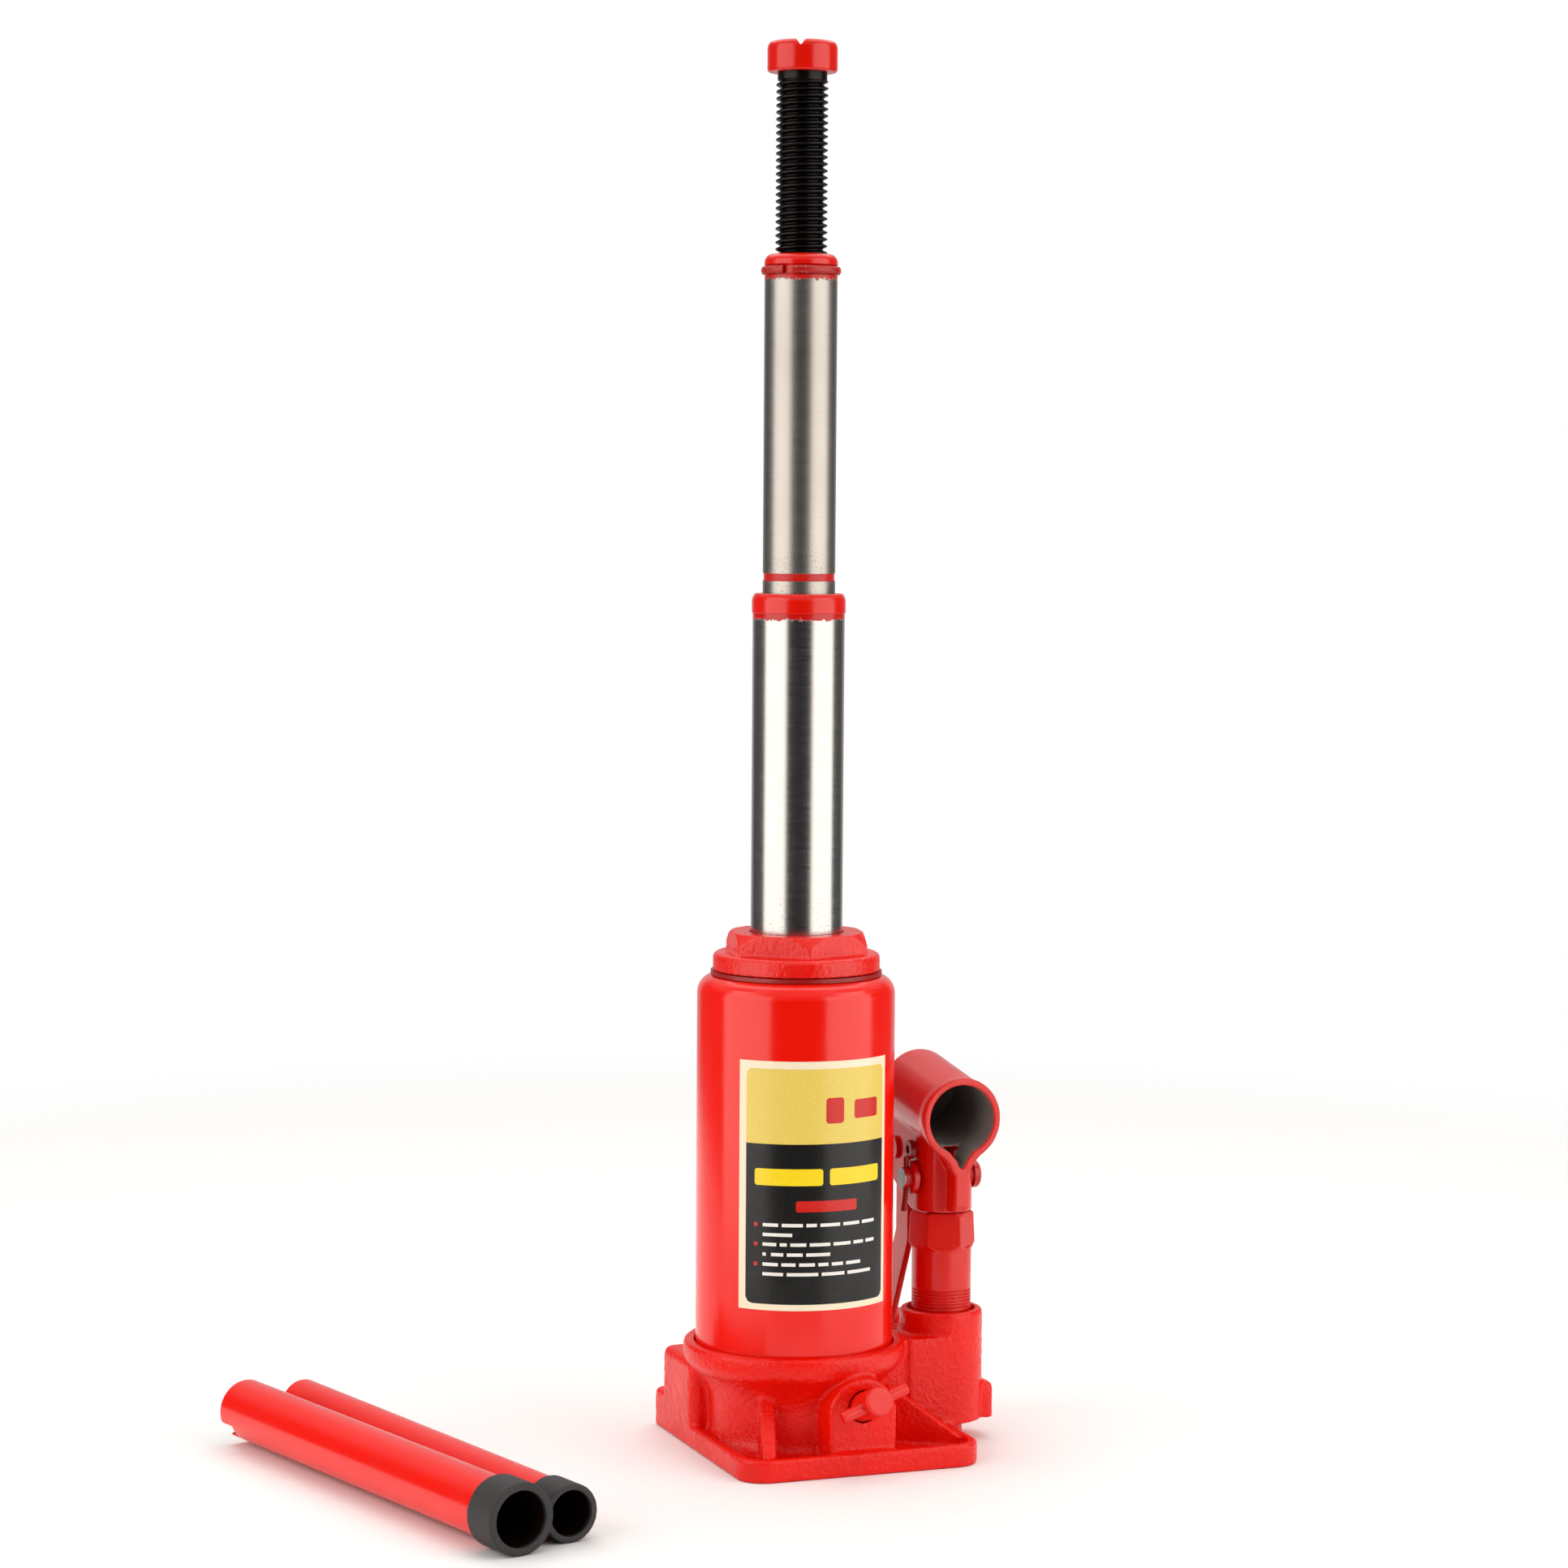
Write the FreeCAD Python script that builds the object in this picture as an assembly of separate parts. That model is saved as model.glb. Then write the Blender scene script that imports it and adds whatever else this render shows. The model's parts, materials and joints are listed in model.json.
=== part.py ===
import FreeCAD, Part
import math
import os

# Hydraulic bottle jack, two telescopic rams and an extension screw, shown fully raised,
# with its two-piece pumping handle laid on the floor beside it.
# Frame: +Z up, origin on the ground under the ram axis, the release valve faces -Y and the
# pump stands at +X. All sizes are in millimetres.

V = FreeCAD.Vector
X_AXIS = V(1, 0, 0)
Y_AXIS = V(0, 1, 0)
Z_AXIS = V(0, 0, 1)

# ---- clearances -----------------------------------------------------------------------------
RUN = 0.3            # radial gap between pieces that slide or turn in one another
EPS = 1.0            # how far a cutting tool runs past the face it cuts

# ---- ram stack (heights with both rams and the screw fully out) -------------------------------
OUTER_RAM_R = 17.1
INNER_RAM_R = 13.45
NUT_TOP_Z = 196.2
OUTER_RAM_TOP_Z = 314.7
OUTER_COLLAR_TOP_Z = 321.9
OUTER_RAM_BOTTOM_Z = 148.0
INNER_RAM_BOTTOM_Z = 286.5
INNER_RAM_TOP_Z = 439.0
INNER_COLLAR_TOP_Z = 446.9
PAINT_GROOVE_Z = (326.7, 329.3)
SCREW_CREST_R = 9.6
SCREW_ROOT_R = 7.9
SCREW_PITCH = 2.5
SCREW_NECK_R = 9.15
SCREW_BOTTOM_Z = 428.0
SCREW_THREAD_TOP_Z = 510.5
SADDLE_R = 12.95
SADDLE_BOTTOM_Z = 513.2
SADDLE_TOP_Z = 524.5

# ---- reservoir, pressure cylinder and top nut ---------------------------------------------------
CASING_R = 37.0
CASING_WALL = 2.0
CASING_BOTTOM_Z = 37.5
CASING_SHOULDER_Z = 173.0
SHOULDER_R = 7.0
CASING_TOP_Z = CASING_SHOULDER_Z + SHOULDER_R
CYLINDER_R = 22.0
CYLINDER_BORE_R = 18.0
CYLINDER_BOTTOM_Z = 20.0
CYLINDER_TOP_Z = 184.0
NUT_ACROSS_CORNERS = 56.2
NUT_CORNER_ANGLE = -100.0
NUT_FLANGE_R = 31.3
NUT_FLANGE_Z = (181.5, 188.4)
GASKET_R = 32.0

# ---- base casting -------------------------------------------------------------------------------
FOOT_HEIGHT = 8.5
FOOT_LEFT_X = -37.0
FOOT_RIGHT_X = 58.3
FOOT_REAR_RIGHT_X = 70.0
FOOT_FRONT_Y = -49.0
FOOT_REAR_Y = 55.0
FOOT_CORNER_R = 11.0
RIM_WIDTH = 4.0
POCKET_FLOOR_Z = 4.5
HOUSING_R = 31.5
FLARE_START_Z = 18.0
CUP_R = 41.7
CUP_TOP_Z = 42.6
CUP_FLOOR_Z = 36.0
PILLAR_Y = (11.0, 46.0)
PILLAR_TOP_Z = 33.2
RELIEF_X = -27.0
RELIEF_Z = 23.5
VALVE_BOSS_X = 11.2
VALVE_BOSS_HALF_WIDTH = 13.4
VALVE_BOSS_TOP_Z = 35.0
VALVE_BOSS_FACE_Y = -44.0

# ---- pump -----------------------------------------------------------------------------------------
PUMP_X = 60.0
PUMP_BOSS_R = 15.9
PUMP_BOSS_TOP_Z = 50.5
PUMP_BLOCK_Z = (7.5, 41.7)
PUMP_LUG_X = 79.0
PUMP_LUG_TOP_Z = 21.8
PUMP_CYL_R = 11.3
PUMP_CYL_BOTTOM_Z = 30.0
PUMP_HEX_Z = (73.0, 87.5)
PUMP_HEX_CORNERS = (25.6, 24.1)   # across corners at its foot and at its top
PUMP_HEX_ANGLE = -78.0
PLUNGER_R = 5.5
PLUNGER_HEAD_R = 7.6
PASSAGE_Z = 14.5
PLUG_LENGTH = 7.5

# ---- handle socket and linkage ----------------------------------------------------------------------
CLEVIS_Z = 100.5
CLEVIS_R = 4.0
CLEVIS_X = (43.2, 73.0)
CLEVIS_WASHER_R = 6.3
SOCKET_R = 15.6
SOCKET_BODY_R = 14.8
SHEET = 2.65
SOCKET_MOUTH_Y = -19.0
SOCKET_BACK_Y = 24.5
SOCKET_BORE_END = 21.0         # the bore is blind; measured along the inclined axis
SOCKET_AXIS_Z = 127.3
SOCKET_TILT = 8.2
EAR_HALF_WIDTH = 11.3
EAR_BOTTOM_Z = 88.0
LINK_PIN_Y = 19.0
LINK_PIN_Z = 109.0
LINK_PIN_R = 3.0
FULCRUM_Y = 40.0
FULCRUM_Z = 35.0
FULCRUM_R = 3.5
STRAP_THICKNESS = 2.5
STRAP_HALF_WIDTH = 6.0
STRAP_BEND_Z = 75.0
STRAP_SLOT_CLEARANCE = 0.8
STRAP_SLOT_TRAVEL = 1.4       # the rear pin drifts this far across the strap through a pump stroke
LUG_HALF_WIDTH = 5.2

# ---- release valve ------------------------------------------------------------------------------------
VALVE_MOUTH = V(11.3, VALVE_BOSS_FACE_Y, 24.7)
VALVE_TILT = 18.7
VALVE_R = 5.25
VALVE_REACH = 16.0
VALVE_DEPTH = 24.0
CROSS_PIN_R = 2.3
CROSS_PIN_LENGTH = 28.0
CROSS_PIN_SETBACK = 5.5
CROSS_PIN_TURN = 19.0

# ---- handle sections on the floor ---------------------------------------------------------------------
HANDLE_HEADING = 15.0
BIG_NEAR_END = V(-140.9, -113.7, 0)
BIG_LENGTH = 197.0
BIG_TUBE_R = 11.0
BIG_GRIP_R = 12.7
SMALL_HEADING = 13.9
SMALL_SETBACK = 5.0
SMALL_LENGTH = 197.0
SMALL_TUBE_R = 9.2
SMALL_GRIP_R = 10.3
TUBE_WALL = 1.2
GRIP_LENGTH = 15.0
GRIP_LIP = 2.0


# ---- small building blocks ----------------------------------------------------------------------------
def cyl(radius, low, high, x=0.0, y=0.0):
    return Part.makeCylinder(radius, high - low, V(x, y, low), Z_AXIS)


def cyl_x(radius, low, high, y, z):
    return Part.makeCylinder(radius, high - low, V(low, y, z), X_AXIS)


def cyl_y(radius, low, high, x, z):
    return Part.makeCylinder(radius, high - low, V(x, low, z), Y_AXIS)


def ring(outer, inner, low, high, x=0.0, y=0.0):
    return cyl(outer, low, high, x, y).cut(cyl(inner, low - EPS, high + EPS, x, y))


def box(x_range, y_range, z_range):
    corner = V(x_range[0], y_range[0], z_range[0])
    return Part.makeBox(x_range[1] - x_range[0], y_range[1] - y_range[0],
                        z_range[1] - z_range[0], corner)


def closed_face(points):
    return Part.Face(Part.makePolygon(list(points) + [points[0]]))


def turned(profile, x=0.0, y=0.0):
    """Revolve a closed (radius, height) outline about the vertical line through x, y."""
    face = closed_face([V(x + radius, y, height) for radius, height in profile])
    return face.revolve(V(x, y, 0), Z_AXIS, 360)


def hexagon_outline(across_corners, height, angle, x, y):
    corners = []
    for step in range(6):
        turn = math.radians(angle + 60 * step)
        corners.append(V(x + across_corners / 2 * math.cos(turn),
                         y + across_corners / 2 * math.sin(turn), height))
    return Part.makePolygon(corners + [corners[0]])


def hexagon(across_corners, low, high, angle, x=0.0, y=0.0):
    """Hexagonal bar with one corner at the given angle; the sizes are at its foot and top."""
    foot_size, top_size = across_corners
    outlines = [hexagon_outline(foot_size, low, angle, x, y),
                hexagon_outline(top_size, high, angle, x, y)]
    return Part.makeLoft(outlines, True, True)


def plate_yz(points, x_low, x_high):
    """Flat plate with the outline given as (y, z) points, between two x values."""
    face = closed_face([V(x_low, y, z) for y, z in points])
    return face.extrude(V(x_high - x_low, 0, 0))


def plate_xz(points, y_low, y_high):
    face = closed_face([V(x, y_low, z) for x, z in points])
    return face.extrude(V(0, y_high - y_low, 0))


def rounded_plan(x_range, y_range, z_range, radius):
    """Block with its four upright edges rounded."""
    block = box(x_range, y_range, z_range)
    upright = [edge for edge in block.Edges if abs(edge.tangentAt(0).z) > 0.9]
    return block.makeFillet(radius, upright)


def soften(shape, radius, chosen):
    return shape.makeFillet(radius, [edge for edge in shape.Edges if chosen(edge)])


def at_height(height):
    """Test for edges that lie flat at one height."""
    def test(edge):
        bounds = edge.BoundBox
        return abs(bounds.ZMin - height) < 1e-4 and abs(bounds.ZMax - height) < 1e-4
    return test


def fuse_all(pieces):
    solid = pieces[0].fuse(pieces[1:]).removeSplitter()
    return solid.Solids[0] if len(solid.Solids) == 1 else solid


def spring(radius, wire, low, high, turns, x=0.0, y=0.0):
    """Compression spring as a stack of wire rings joined by one thin upright."""
    pitch = (high - low - 2 * wire) / (turns - 1)
    coils = [Part.makeTorus(radius, wire, V(x, y, low + wire + step * pitch), Z_AXIS)
             for step in range(turns)]
    post = cyl(wire * 0.6, low + wire, high - wire, x + radius, y)
    return fuse_all([post] + coils)


# ---- base casting ---------------------------------------------------------------------------------------
def foot_plate():
    front = rounded_plan((FOOT_LEFT_X, FOOT_RIGHT_X), (FOOT_FRONT_Y, 20), (0, FOOT_HEIGHT),
                         FOOT_CORNER_R)
    rear = rounded_plan((FOOT_LEFT_X, FOOT_REAR_RIGHT_X), (-5, FOOT_REAR_Y), (0, FOOT_HEIGHT), 8)
    plate = front.fuse(rear).removeSplitter()
    plate = soften(plate, 1.2, at_height(FOOT_HEIGHT))
    pocket = rounded_plan((FOOT_LEFT_X + RIM_WIDTH, FOOT_RIGHT_X - RIM_WIDTH),
                          (FOOT_FRONT_Y + RIM_WIDTH, PILLAR_Y[0] + 4),
                          (POCKET_FLOOR_Z, FOOT_HEIGHT + EPS), FOOT_CORNER_R - RIM_WIDTH)
    return plate.cut(pocket)


def housing():
    """Round body of the base: foot fillet, plain wall, a soft flare and the casing's cup."""
    hollow_r = 18.0
    crest_r = 7.0
    sweep = math.acos(1 - (CUP_R - HOUSING_R) / (hollow_r + crest_r))
    profile = [(0, 0), (HOUSING_R + 5, 0), (HOUSING_R + 5, POCKET_FLOOR_Z),
               (HOUSING_R + 2, POCKET_FLOOR_Z + 1.2), (HOUSING_R + 0.6, POCKET_FLOOR_Z + 3),
               (HOUSING_R, POCKET_FLOOR_Z + 5.5), (HOUSING_R, FLARE_START_Z)]
    for step in range(1, 7):
        turn = sweep * step / 6
        profile.append((HOUSING_R + hollow_r * (1 - math.cos(turn)),
                        FLARE_START_Z + hollow_r * math.sin(turn)))
    band_z = FLARE_START_Z + (hollow_r + crest_r) * math.sin(sweep)
    for step in range(5, -1, -1):
        turn = sweep * step / 6
        profile.append((CUP_R - crest_r * (1 - math.cos(turn)), band_z - crest_r * math.sin(turn)))
    lip = 2.0
    for step in range(0, 5):
        turn = math.radians(90 * step / 4)
        profile.append((CUP_R - lip + lip * math.cos(turn), CUP_TOP_Z - lip + lip * math.sin(turn)))
    profile.append((0, CUP_TOP_Z))
    return turned(profile)


def left_pillar():
    block = rounded_plan((FOOT_LEFT_X, -12), PILLAR_Y, (0, PILLAR_TOP_Z), 4.0)
    block = soften(block, 3.8, at_height(PILLAR_TOP_Z))
    pad = rounded_plan((FOOT_LEFT_X, -20), (PILLAR_Y[1] - 6, FOOT_REAR_Y), (0, 15.0), 3.0)
    pad = soften(pad, 2.5, at_height(15.0))
    return [block, pad]


def pump_block():
    web = box((15, 41.5), (-15.0, 15.0), (0, PUMP_BLOCK_Z[1]))
    block = box((40.8, PUMP_X), (-PUMP_BOSS_R, PUMP_BOSS_R), PUMP_BLOCK_Z)
    boss = cyl(PUMP_BOSS_R, PUMP_BLOCK_Z[0], PUMP_BOSS_TOP_Z, PUMP_X)
    boss = soften(boss, 2.0, at_height(PUMP_BOSS_TOP_Z))
    lug = rounded_plan((PUMP_X + 5, PUMP_LUG_X), (-9, 9), (PUMP_BLOCK_Z[0], PUMP_LUG_TOP_Z), 3.0)
    lug = soften(lug, 2.9, at_height(PUMP_LUG_TOP_Z))
    return [web, block, boss, lug]


def valve_boss():
    half = VALVE_BOSS_HALF_WIDTH
    centre_z = VALVE_BOSS_TOP_Z - half
    arch = cyl_y(half, VALVE_BOSS_FACE_Y, -20, VALVE_BOSS_X, centre_z)
    skirt = box((VALVE_BOSS_X - half, VALVE_BOSS_X + half), (VALVE_BOSS_FACE_Y, -20),
                (POCKET_FLOOR_Z - EPS, centre_z))
    boss = arch.fuse(skirt).removeSplitter()

    def on_face(edge):
        bounds = edge.BoundBox
        at_face = bounds.YMax < VALVE_BOSS_FACE_Y + 1e-4
        return at_face and bounds.ZMax > POCKET_FLOOR_Z + 1e-3
    return soften(boss, 1.5, on_face)


def gusset(start, end, thickness, top_z, end_z):
    """Sloping rib between two (x, y) points, deep at its start and low at its end."""
    direction = V(end[0] - start[0], end[1] - start[1], 0)
    side = V(-direction.y, direction.x, 0).normalize() * (thickness / 2)
    root = V(start[0], start[1], 0) - direction * 0.5
    outline = [root + V(0, 0, 1), V(end[0], end[1], 1), V(end[0], end[1], end_z),
               V(start[0], start[1], top_z), root + V(0, 0, top_z)]
    face = closed_face([point - side for point in outline])
    return face.extrude(side * 2)


def fulcrum_lug():
    low = PUMP_X - LUG_HALF_WIDTH
    high = PUMP_X + LUG_HALF_WIDTH
    outline = [(FULCRUM_Y - 11, 1), (FULCRUM_Y + 11, 1), (FULCRUM_Y + 7, FULCRUM_Z),
               (FULCRUM_Y - 7, FULCRUM_Z)]
    return [plate_yz(outline, low, high), cyl_x(7.0, low, high, FULCRUM_Y, FULCRUM_Z)]


def valve_direction():
    tilt = math.radians(VALVE_TILT)
    return V(0, -math.cos(tilt), math.sin(tilt))


def along_valve(radius, start, end):
    """Cylinder on the release valve's axis; distances run outward from the boss face."""
    direction = valve_direction()
    return Part.makeCylinder(radius, end - start, VALVE_MOUTH + direction * start, direction)


def base_casting():
    solid = fuse_all([foot_plate(), housing(), valve_boss()] + left_pillar() + pump_block()
                     + fulcrum_lug()
                     + [gusset((-20, -25), (-25.7, -44.0), 5.5, 28.0, FOOT_HEIGHT - 0.3),
                        gusset((31, -19), (54.0, -32.4), 4.5, 26.5, FOOT_HEIGHT - 0.3)])
    openings = [cyl(CASING_R + 0.25, CUP_FLOOR_Z, CUP_TOP_Z + EPS),
                cyl(CYLINDER_R, CYLINDER_BOTTOM_Z - 1.5, CUP_FLOOR_Z + EPS),
                cyl(PUMP_CYL_R, PUMP_CYL_BOTTOM_Z - 1.5, PUMP_BOSS_TOP_Z + EPS, PUMP_X),
                cyl(PUMP_CYL_R + 1.4, PUMP_BOSS_TOP_Z - 3, PUMP_BOSS_TOP_Z + EPS, PUMP_X),
                cyl(4.2, PASSAGE_Z - 4, CYLINDER_BOTTOM_Z, -8.0),
                cyl(4.2, PASSAGE_Z - 2, PUMP_CYL_BOTTOM_Z, PUMP_X),
                cyl_x(2.0, -8.0, PUMP_LUG_X - PLUG_LENGTH, 0, PASSAGE_Z),
                cyl_x(4.0, PUMP_LUG_X - PLUG_LENGTH - 1, PUMP_LUG_X + EPS, 0, PASSAGE_Z),
                cyl_y(3.5, PILLAR_Y[1] - 19.0, PILLAR_Y[1] + EPS, RELIEF_X, RELIEF_Z),
                along_valve(VALVE_R + RUN, -VALVE_DEPTH, 2 * VALVE_REACH),
                along_valve(3.4, -VALVE_DEPTH - 8.5, 0),
                cyl_x(FULCRUM_R + RUN, PUMP_X - 20, PUMP_X + 20, FULCRUM_Y, FULCRUM_Z)]
    for opening in openings:
        solid = solid.cut(opening)
    return solid.Solids[0]


# ---- valves inside the base ---------------------------------------------------------------------------
def outlet_check_ball():
    return Part.makeSphere(3.0, V(-8.0, 0, PASSAGE_Z - 1.0))


def outlet_check_spring():
    return spring(2.6, 0.4, PASSAGE_Z + 2.0, CYLINDER_BOTTOM_Z - 1.6, 3, -8.0)


def inlet_check_ball():
    return Part.makeSphere(3.0, V(PUMP_X, 0, PASSAGE_Z + 1.0))


def inlet_check_spring():
    return spring(3.0, 0.4, PASSAGE_Z + 4.2, PUMP_CYL_BOTTOM_Z - 1.6, 4, PUMP_X)


def set_screw(radius, length, key_across):
    """Socket set screw from the origin along +X, its hexagonal key hole in the far end."""
    key = hexagon((key_across, key_across), length - 3.0, length + EPS, 0)
    screw = cyl(radius, 0, length).cut(key)
    screw.rotate(V(0, 0, 0), Y_AXIS, 90)
    return screw


def passage_plug():
    plug = set_screw(4.0, PLUG_LENGTH, 4.6)
    plug.translate(V(PUMP_LUG_X - PLUG_LENGTH - 1, 0, PASSAGE_Z))
    return plug


def into_pillar(shape, depth):
    """Turn a piece drawn along +X to face the rear of the left pillar, its start set that deep."""
    shape.rotate(V(0, 0, 0), Z_AXIS, 90)
    shape.translate(V(RELIEF_X, PILLAR_Y[1] - depth, RELIEF_Z))
    return shape


def relief_valve_screw():
    return into_pillar(set_screw(3.5, 5.5, 4.0), 6.0)


def relief_valve_spring():
    coil = spring(2.4, 0.45, 0, 8.0, 4)
    coil.rotate(V(0, 0, 0), Y_AXIS, 90)
    return into_pillar(coil, 14.0)


def relief_valve_ball():
    return into_pillar(Part.makeSphere(2.5), 16.5)


# ---- reservoir, pressure cylinder, top nut ---------------------------------------------------------------
def casing_gasket():
    return ring(CASING_R, CASING_R - CASING_WALL - 0.6, CUP_FLOOR_Z, CASING_BOTTOM_Z)


def shoulder_points(radius):
    points = []
    for step in range(0, 9):
        turn = math.radians(90 * step / 8)
        points.append((CASING_R - SHOULDER_R + radius * math.cos(turn),
                       CASING_SHOULDER_Z + radius * math.sin(turn)))
    return points


def reservoir_casing():
    hole_r = CYLINDER_R + 3.0
    outside = [(CASING_R, CASING_BOTTOM_Z)] + shoulder_points(SHOULDER_R)
    inside = shoulder_points(SHOULDER_R - CASING_WALL)
    inside.reverse()
    profile = outside + [(hole_r, CASING_TOP_Z), (hole_r, CASING_TOP_Z - CASING_WALL)] + inside
    profile.append((CASING_R - CASING_WALL, CASING_BOTTOM_Z))
    shell = turned(profile)
    return shell.cut(cyl_y(4.4, 20, 50, 0, 150.0))


def filler_plug():
    """Rubber plug pushed into the filling hole at the back of the reservoir."""
    head = cyl_y(6.5, 30.0, CASING_R + 2.6, 0, 150.0)
    head = head.cut(cyl(CASING_R, 130, 170))
    lip = cyl_y(5.4, 30.5, 34.0, 0, 150.0)
    lip = lip.common(cyl(CASING_R - CASING_WALL, 130, 170))
    stem = cyl_y(4.4, 32.0, CASING_R + 0.5, 0, 150.0)
    return fuse_all([head, lip, stem])


def label_sticker():
    sheet = 0.2
    low_angle = -90.0 - 54.0
    sweep = 96.0
    sector = closed_face([V(0, 0, 59.9)]
                         + [V(60 * math.cos(math.radians(low_angle + sweep * step / 8)),
                              60 * math.sin(math.radians(low_angle + sweep * step / 8)), 59.9)
                            for step in range(9)]).extrude(V(0, 0, 92.1))
    return ring(CASING_R + sheet, CASING_R, 50, 160).common(sector)


def pressure_cylinder():
    tube = ring(CYLINDER_R, CYLINDER_BORE_R, CYLINDER_BOTTOM_Z, CYLINDER_TOP_Z)
    return tube


def cylinder_seal():
    return ring(CYLINDER_R, CYLINDER_BORE_R + 0.4, CYLINDER_BOTTOM_Z - 1.5, CYLINDER_BOTTOM_Z)


def top_nut():
    chamfer = turned([(0, 180), (40, 180), (NUT_ACROSS_CORNERS / 2 + 0.05, 191.6),
                      (NUT_ACROSS_CORNERS / 2 - 3.2, NUT_TOP_Z), (0, NUT_TOP_Z)])
    head = hexagon((NUT_ACROSS_CORNERS, NUT_ACROSS_CORNERS), NUT_FLANGE_Z[1] - 2, NUT_TOP_Z,
                   NUT_CORNER_ANGLE)
    head = head.common(chamfer)
    flange = cyl(NUT_FLANGE_R, *NUT_FLANGE_Z)
    flange = soften(flange, 2.2, at_height(NUT_FLANGE_Z[1]))
    skirt = cyl(CYLINDER_R + 2.6, 166.0, NUT_FLANGE_Z[0])
    nut = fuse_all([flange, head, skirt])
    nut = nut.cut(cyl(OUTER_RAM_R + RUN, 160, 200))
    nut = nut.cut(cyl(CYLINDER_R, 160, CYLINDER_TOP_Z))
    seal_seat = ring(OUTER_RAM_R + 3.0, OUTER_RAM_R, 186.0, 190.0)
    return nut.cut(seal_seat).Solids[0]


def top_nut_gasket():
    bead = ring(GASKET_R, CYLINDER_R + 4.0, CASING_TOP_Z, NUT_FLANGE_Z[0])
    return bead


def rod_seal():
    return ring(OUTER_RAM_R + 3.0, OUTER_RAM_R + RUN, 186.0, 190.0)


# ---- outer ram -----------------------------------------------------------------------------------------
def outer_ram():
    solid = cyl(OUTER_RAM_R, OUTER_RAM_BOTTOM_Z, OUTER_RAM_TOP_Z)
    floor = OUTER_RAM_BOTTOM_Z + 12.0
    cuts = [cyl(INNER_RAM_R + 0.75, floor, OUTER_RAM_TOP_Z + EPS),
            cyl(15.6, 302.0, OUTER_RAM_TOP_Z + EPS),
            cyl(2.5, OUTER_RAM_BOTTOM_Z - EPS, floor + EPS),
            ring(OUTER_RAM_R + EPS, 14.0, OUTER_RAM_BOTTOM_Z + 2.0, OUTER_RAM_BOTTOM_Z + 6.0),
            ring(OUTER_RAM_R + EPS, 15.8, OUTER_RAM_BOTTOM_Z + 8.5, OUTER_RAM_BOTTOM_Z + 10.5)]
    for shape in cuts:
        solid = solid.cut(shape)
    return solid


def outer_piston_seal():
    return ring(CYLINDER_BORE_R - RUN, 14.0, OUTER_RAM_BOTTOM_Z + 2.0, OUTER_RAM_BOTTOM_Z + 6.0)


def outer_stop_ring():
    return ring(CYLINDER_BORE_R - RUN, 15.8, OUTER_RAM_BOTTOM_Z + 8.5, OUTER_RAM_BOTTOM_Z + 10.5)


def outer_ram_collar():
    """Screwed-in gland at the top of the outer ram; it guides and stops the inner ram."""
    bore = INNER_RAM_R + RUN
    top = OUTER_COLLAR_TOP_Z
    profile = [(bore, 302.0), (15.6, 302.0), (15.6, OUTER_RAM_TOP_Z), (17.45, OUTER_RAM_TOP_Z),
               (17.45, top - 2.4), (17.1, top - 1.2), (16.3, top), (bore, top)]
    seat = ring(bore + 1.6, bore - EPS, 308.0, 311.0)
    return turned(profile).cut(seat)


def collar_seal():
    bore = INNER_RAM_R + RUN
    return ring(bore + 1.6, bore, 308.0, 311.0)


# ---- inner ram -----------------------------------------------------------------------------------------
def inner_ram():
    bottom = INNER_RAM_BOTTOM_Z
    floor = bottom + 13.5
    solid = cyl(INNER_RAM_R, bottom, INNER_RAM_TOP_Z)
    cuts = [cyl(SCREW_CREST_R + 0.8, floor, INNER_RAM_TOP_Z + EPS),
            ring(INNER_RAM_R + EPS, 11.0, bottom + 2.0, bottom + 6.0),
            ring(INNER_RAM_R + EPS, 12.4, bottom + 12.0, bottom + 14.0),
            ring(INNER_RAM_R + EPS, INNER_RAM_R - 0.35, *PAINT_GROOVE_Z)]
    for shape in cuts:
        solid = solid.cut(shape)
    return solid


def inner_piston_seal():
    bottom = INNER_RAM_BOTTOM_Z
    return ring(INNER_RAM_R + 0.75 - RUN, 11.0, bottom + 2.0, bottom + 6.0)


def inner_stop_ring():
    bottom = INNER_RAM_BOTTOM_Z
    return ring(INNER_RAM_R + 0.75 - RUN, 12.4, bottom + 12.0, bottom + 14.0)


def inner_ram_collar():
    """Rounded red cap nut on the inner ram, threaded for the extension screw."""
    bore = SCREW_CREST_R + 0.35
    low = INNER_RAM_TOP_Z
    top = INNER_COLLAR_TOP_Z
    rim = 13.6
    rounding = 3.2
    profile = [(bore, low), (12.6, low), (12.6, low + 3.6), (rim, low + 3.6),
               (rim, top - rounding)]
    for step in range(1, 6):
        turn = math.radians(90 * step / 6)
        profile.append((rim - rounding + rounding * math.cos(turn),
                        top - rounding + rounding * math.sin(turn)))
    profile += [(rim - rounding, top), (bore, top)]
    return turned(profile)


def collar_clip():
    """Open spring ring that locks the cap nut; its gap shows at the front left."""
    low = INNER_RAM_TOP_Z + 0.4
    clip = turned([(12.6, low), (14.3, low), (14.75, low + 0.8), (14.75, low + 2.0),
                   (14.2, low + 2.8), (12.6, low + 2.8)])
    gap = box((0, 30), (-2.0, 2.0), (low - EPS, low + 6))
    gap.rotate(V(0, 0, 0), Z_AXIS, -131.0)
    return clip.cut(gap)


# ---- extension screw -------------------------------------------------------------------------------------
def screw_stop_ring():
    return ring(SCREW_CREST_R + 0.5, SCREW_ROOT_R - 1.9 + RUN, SCREW_BOTTOM_Z - 3.4,
                SCREW_BOTTOM_Z - RUN)


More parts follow.
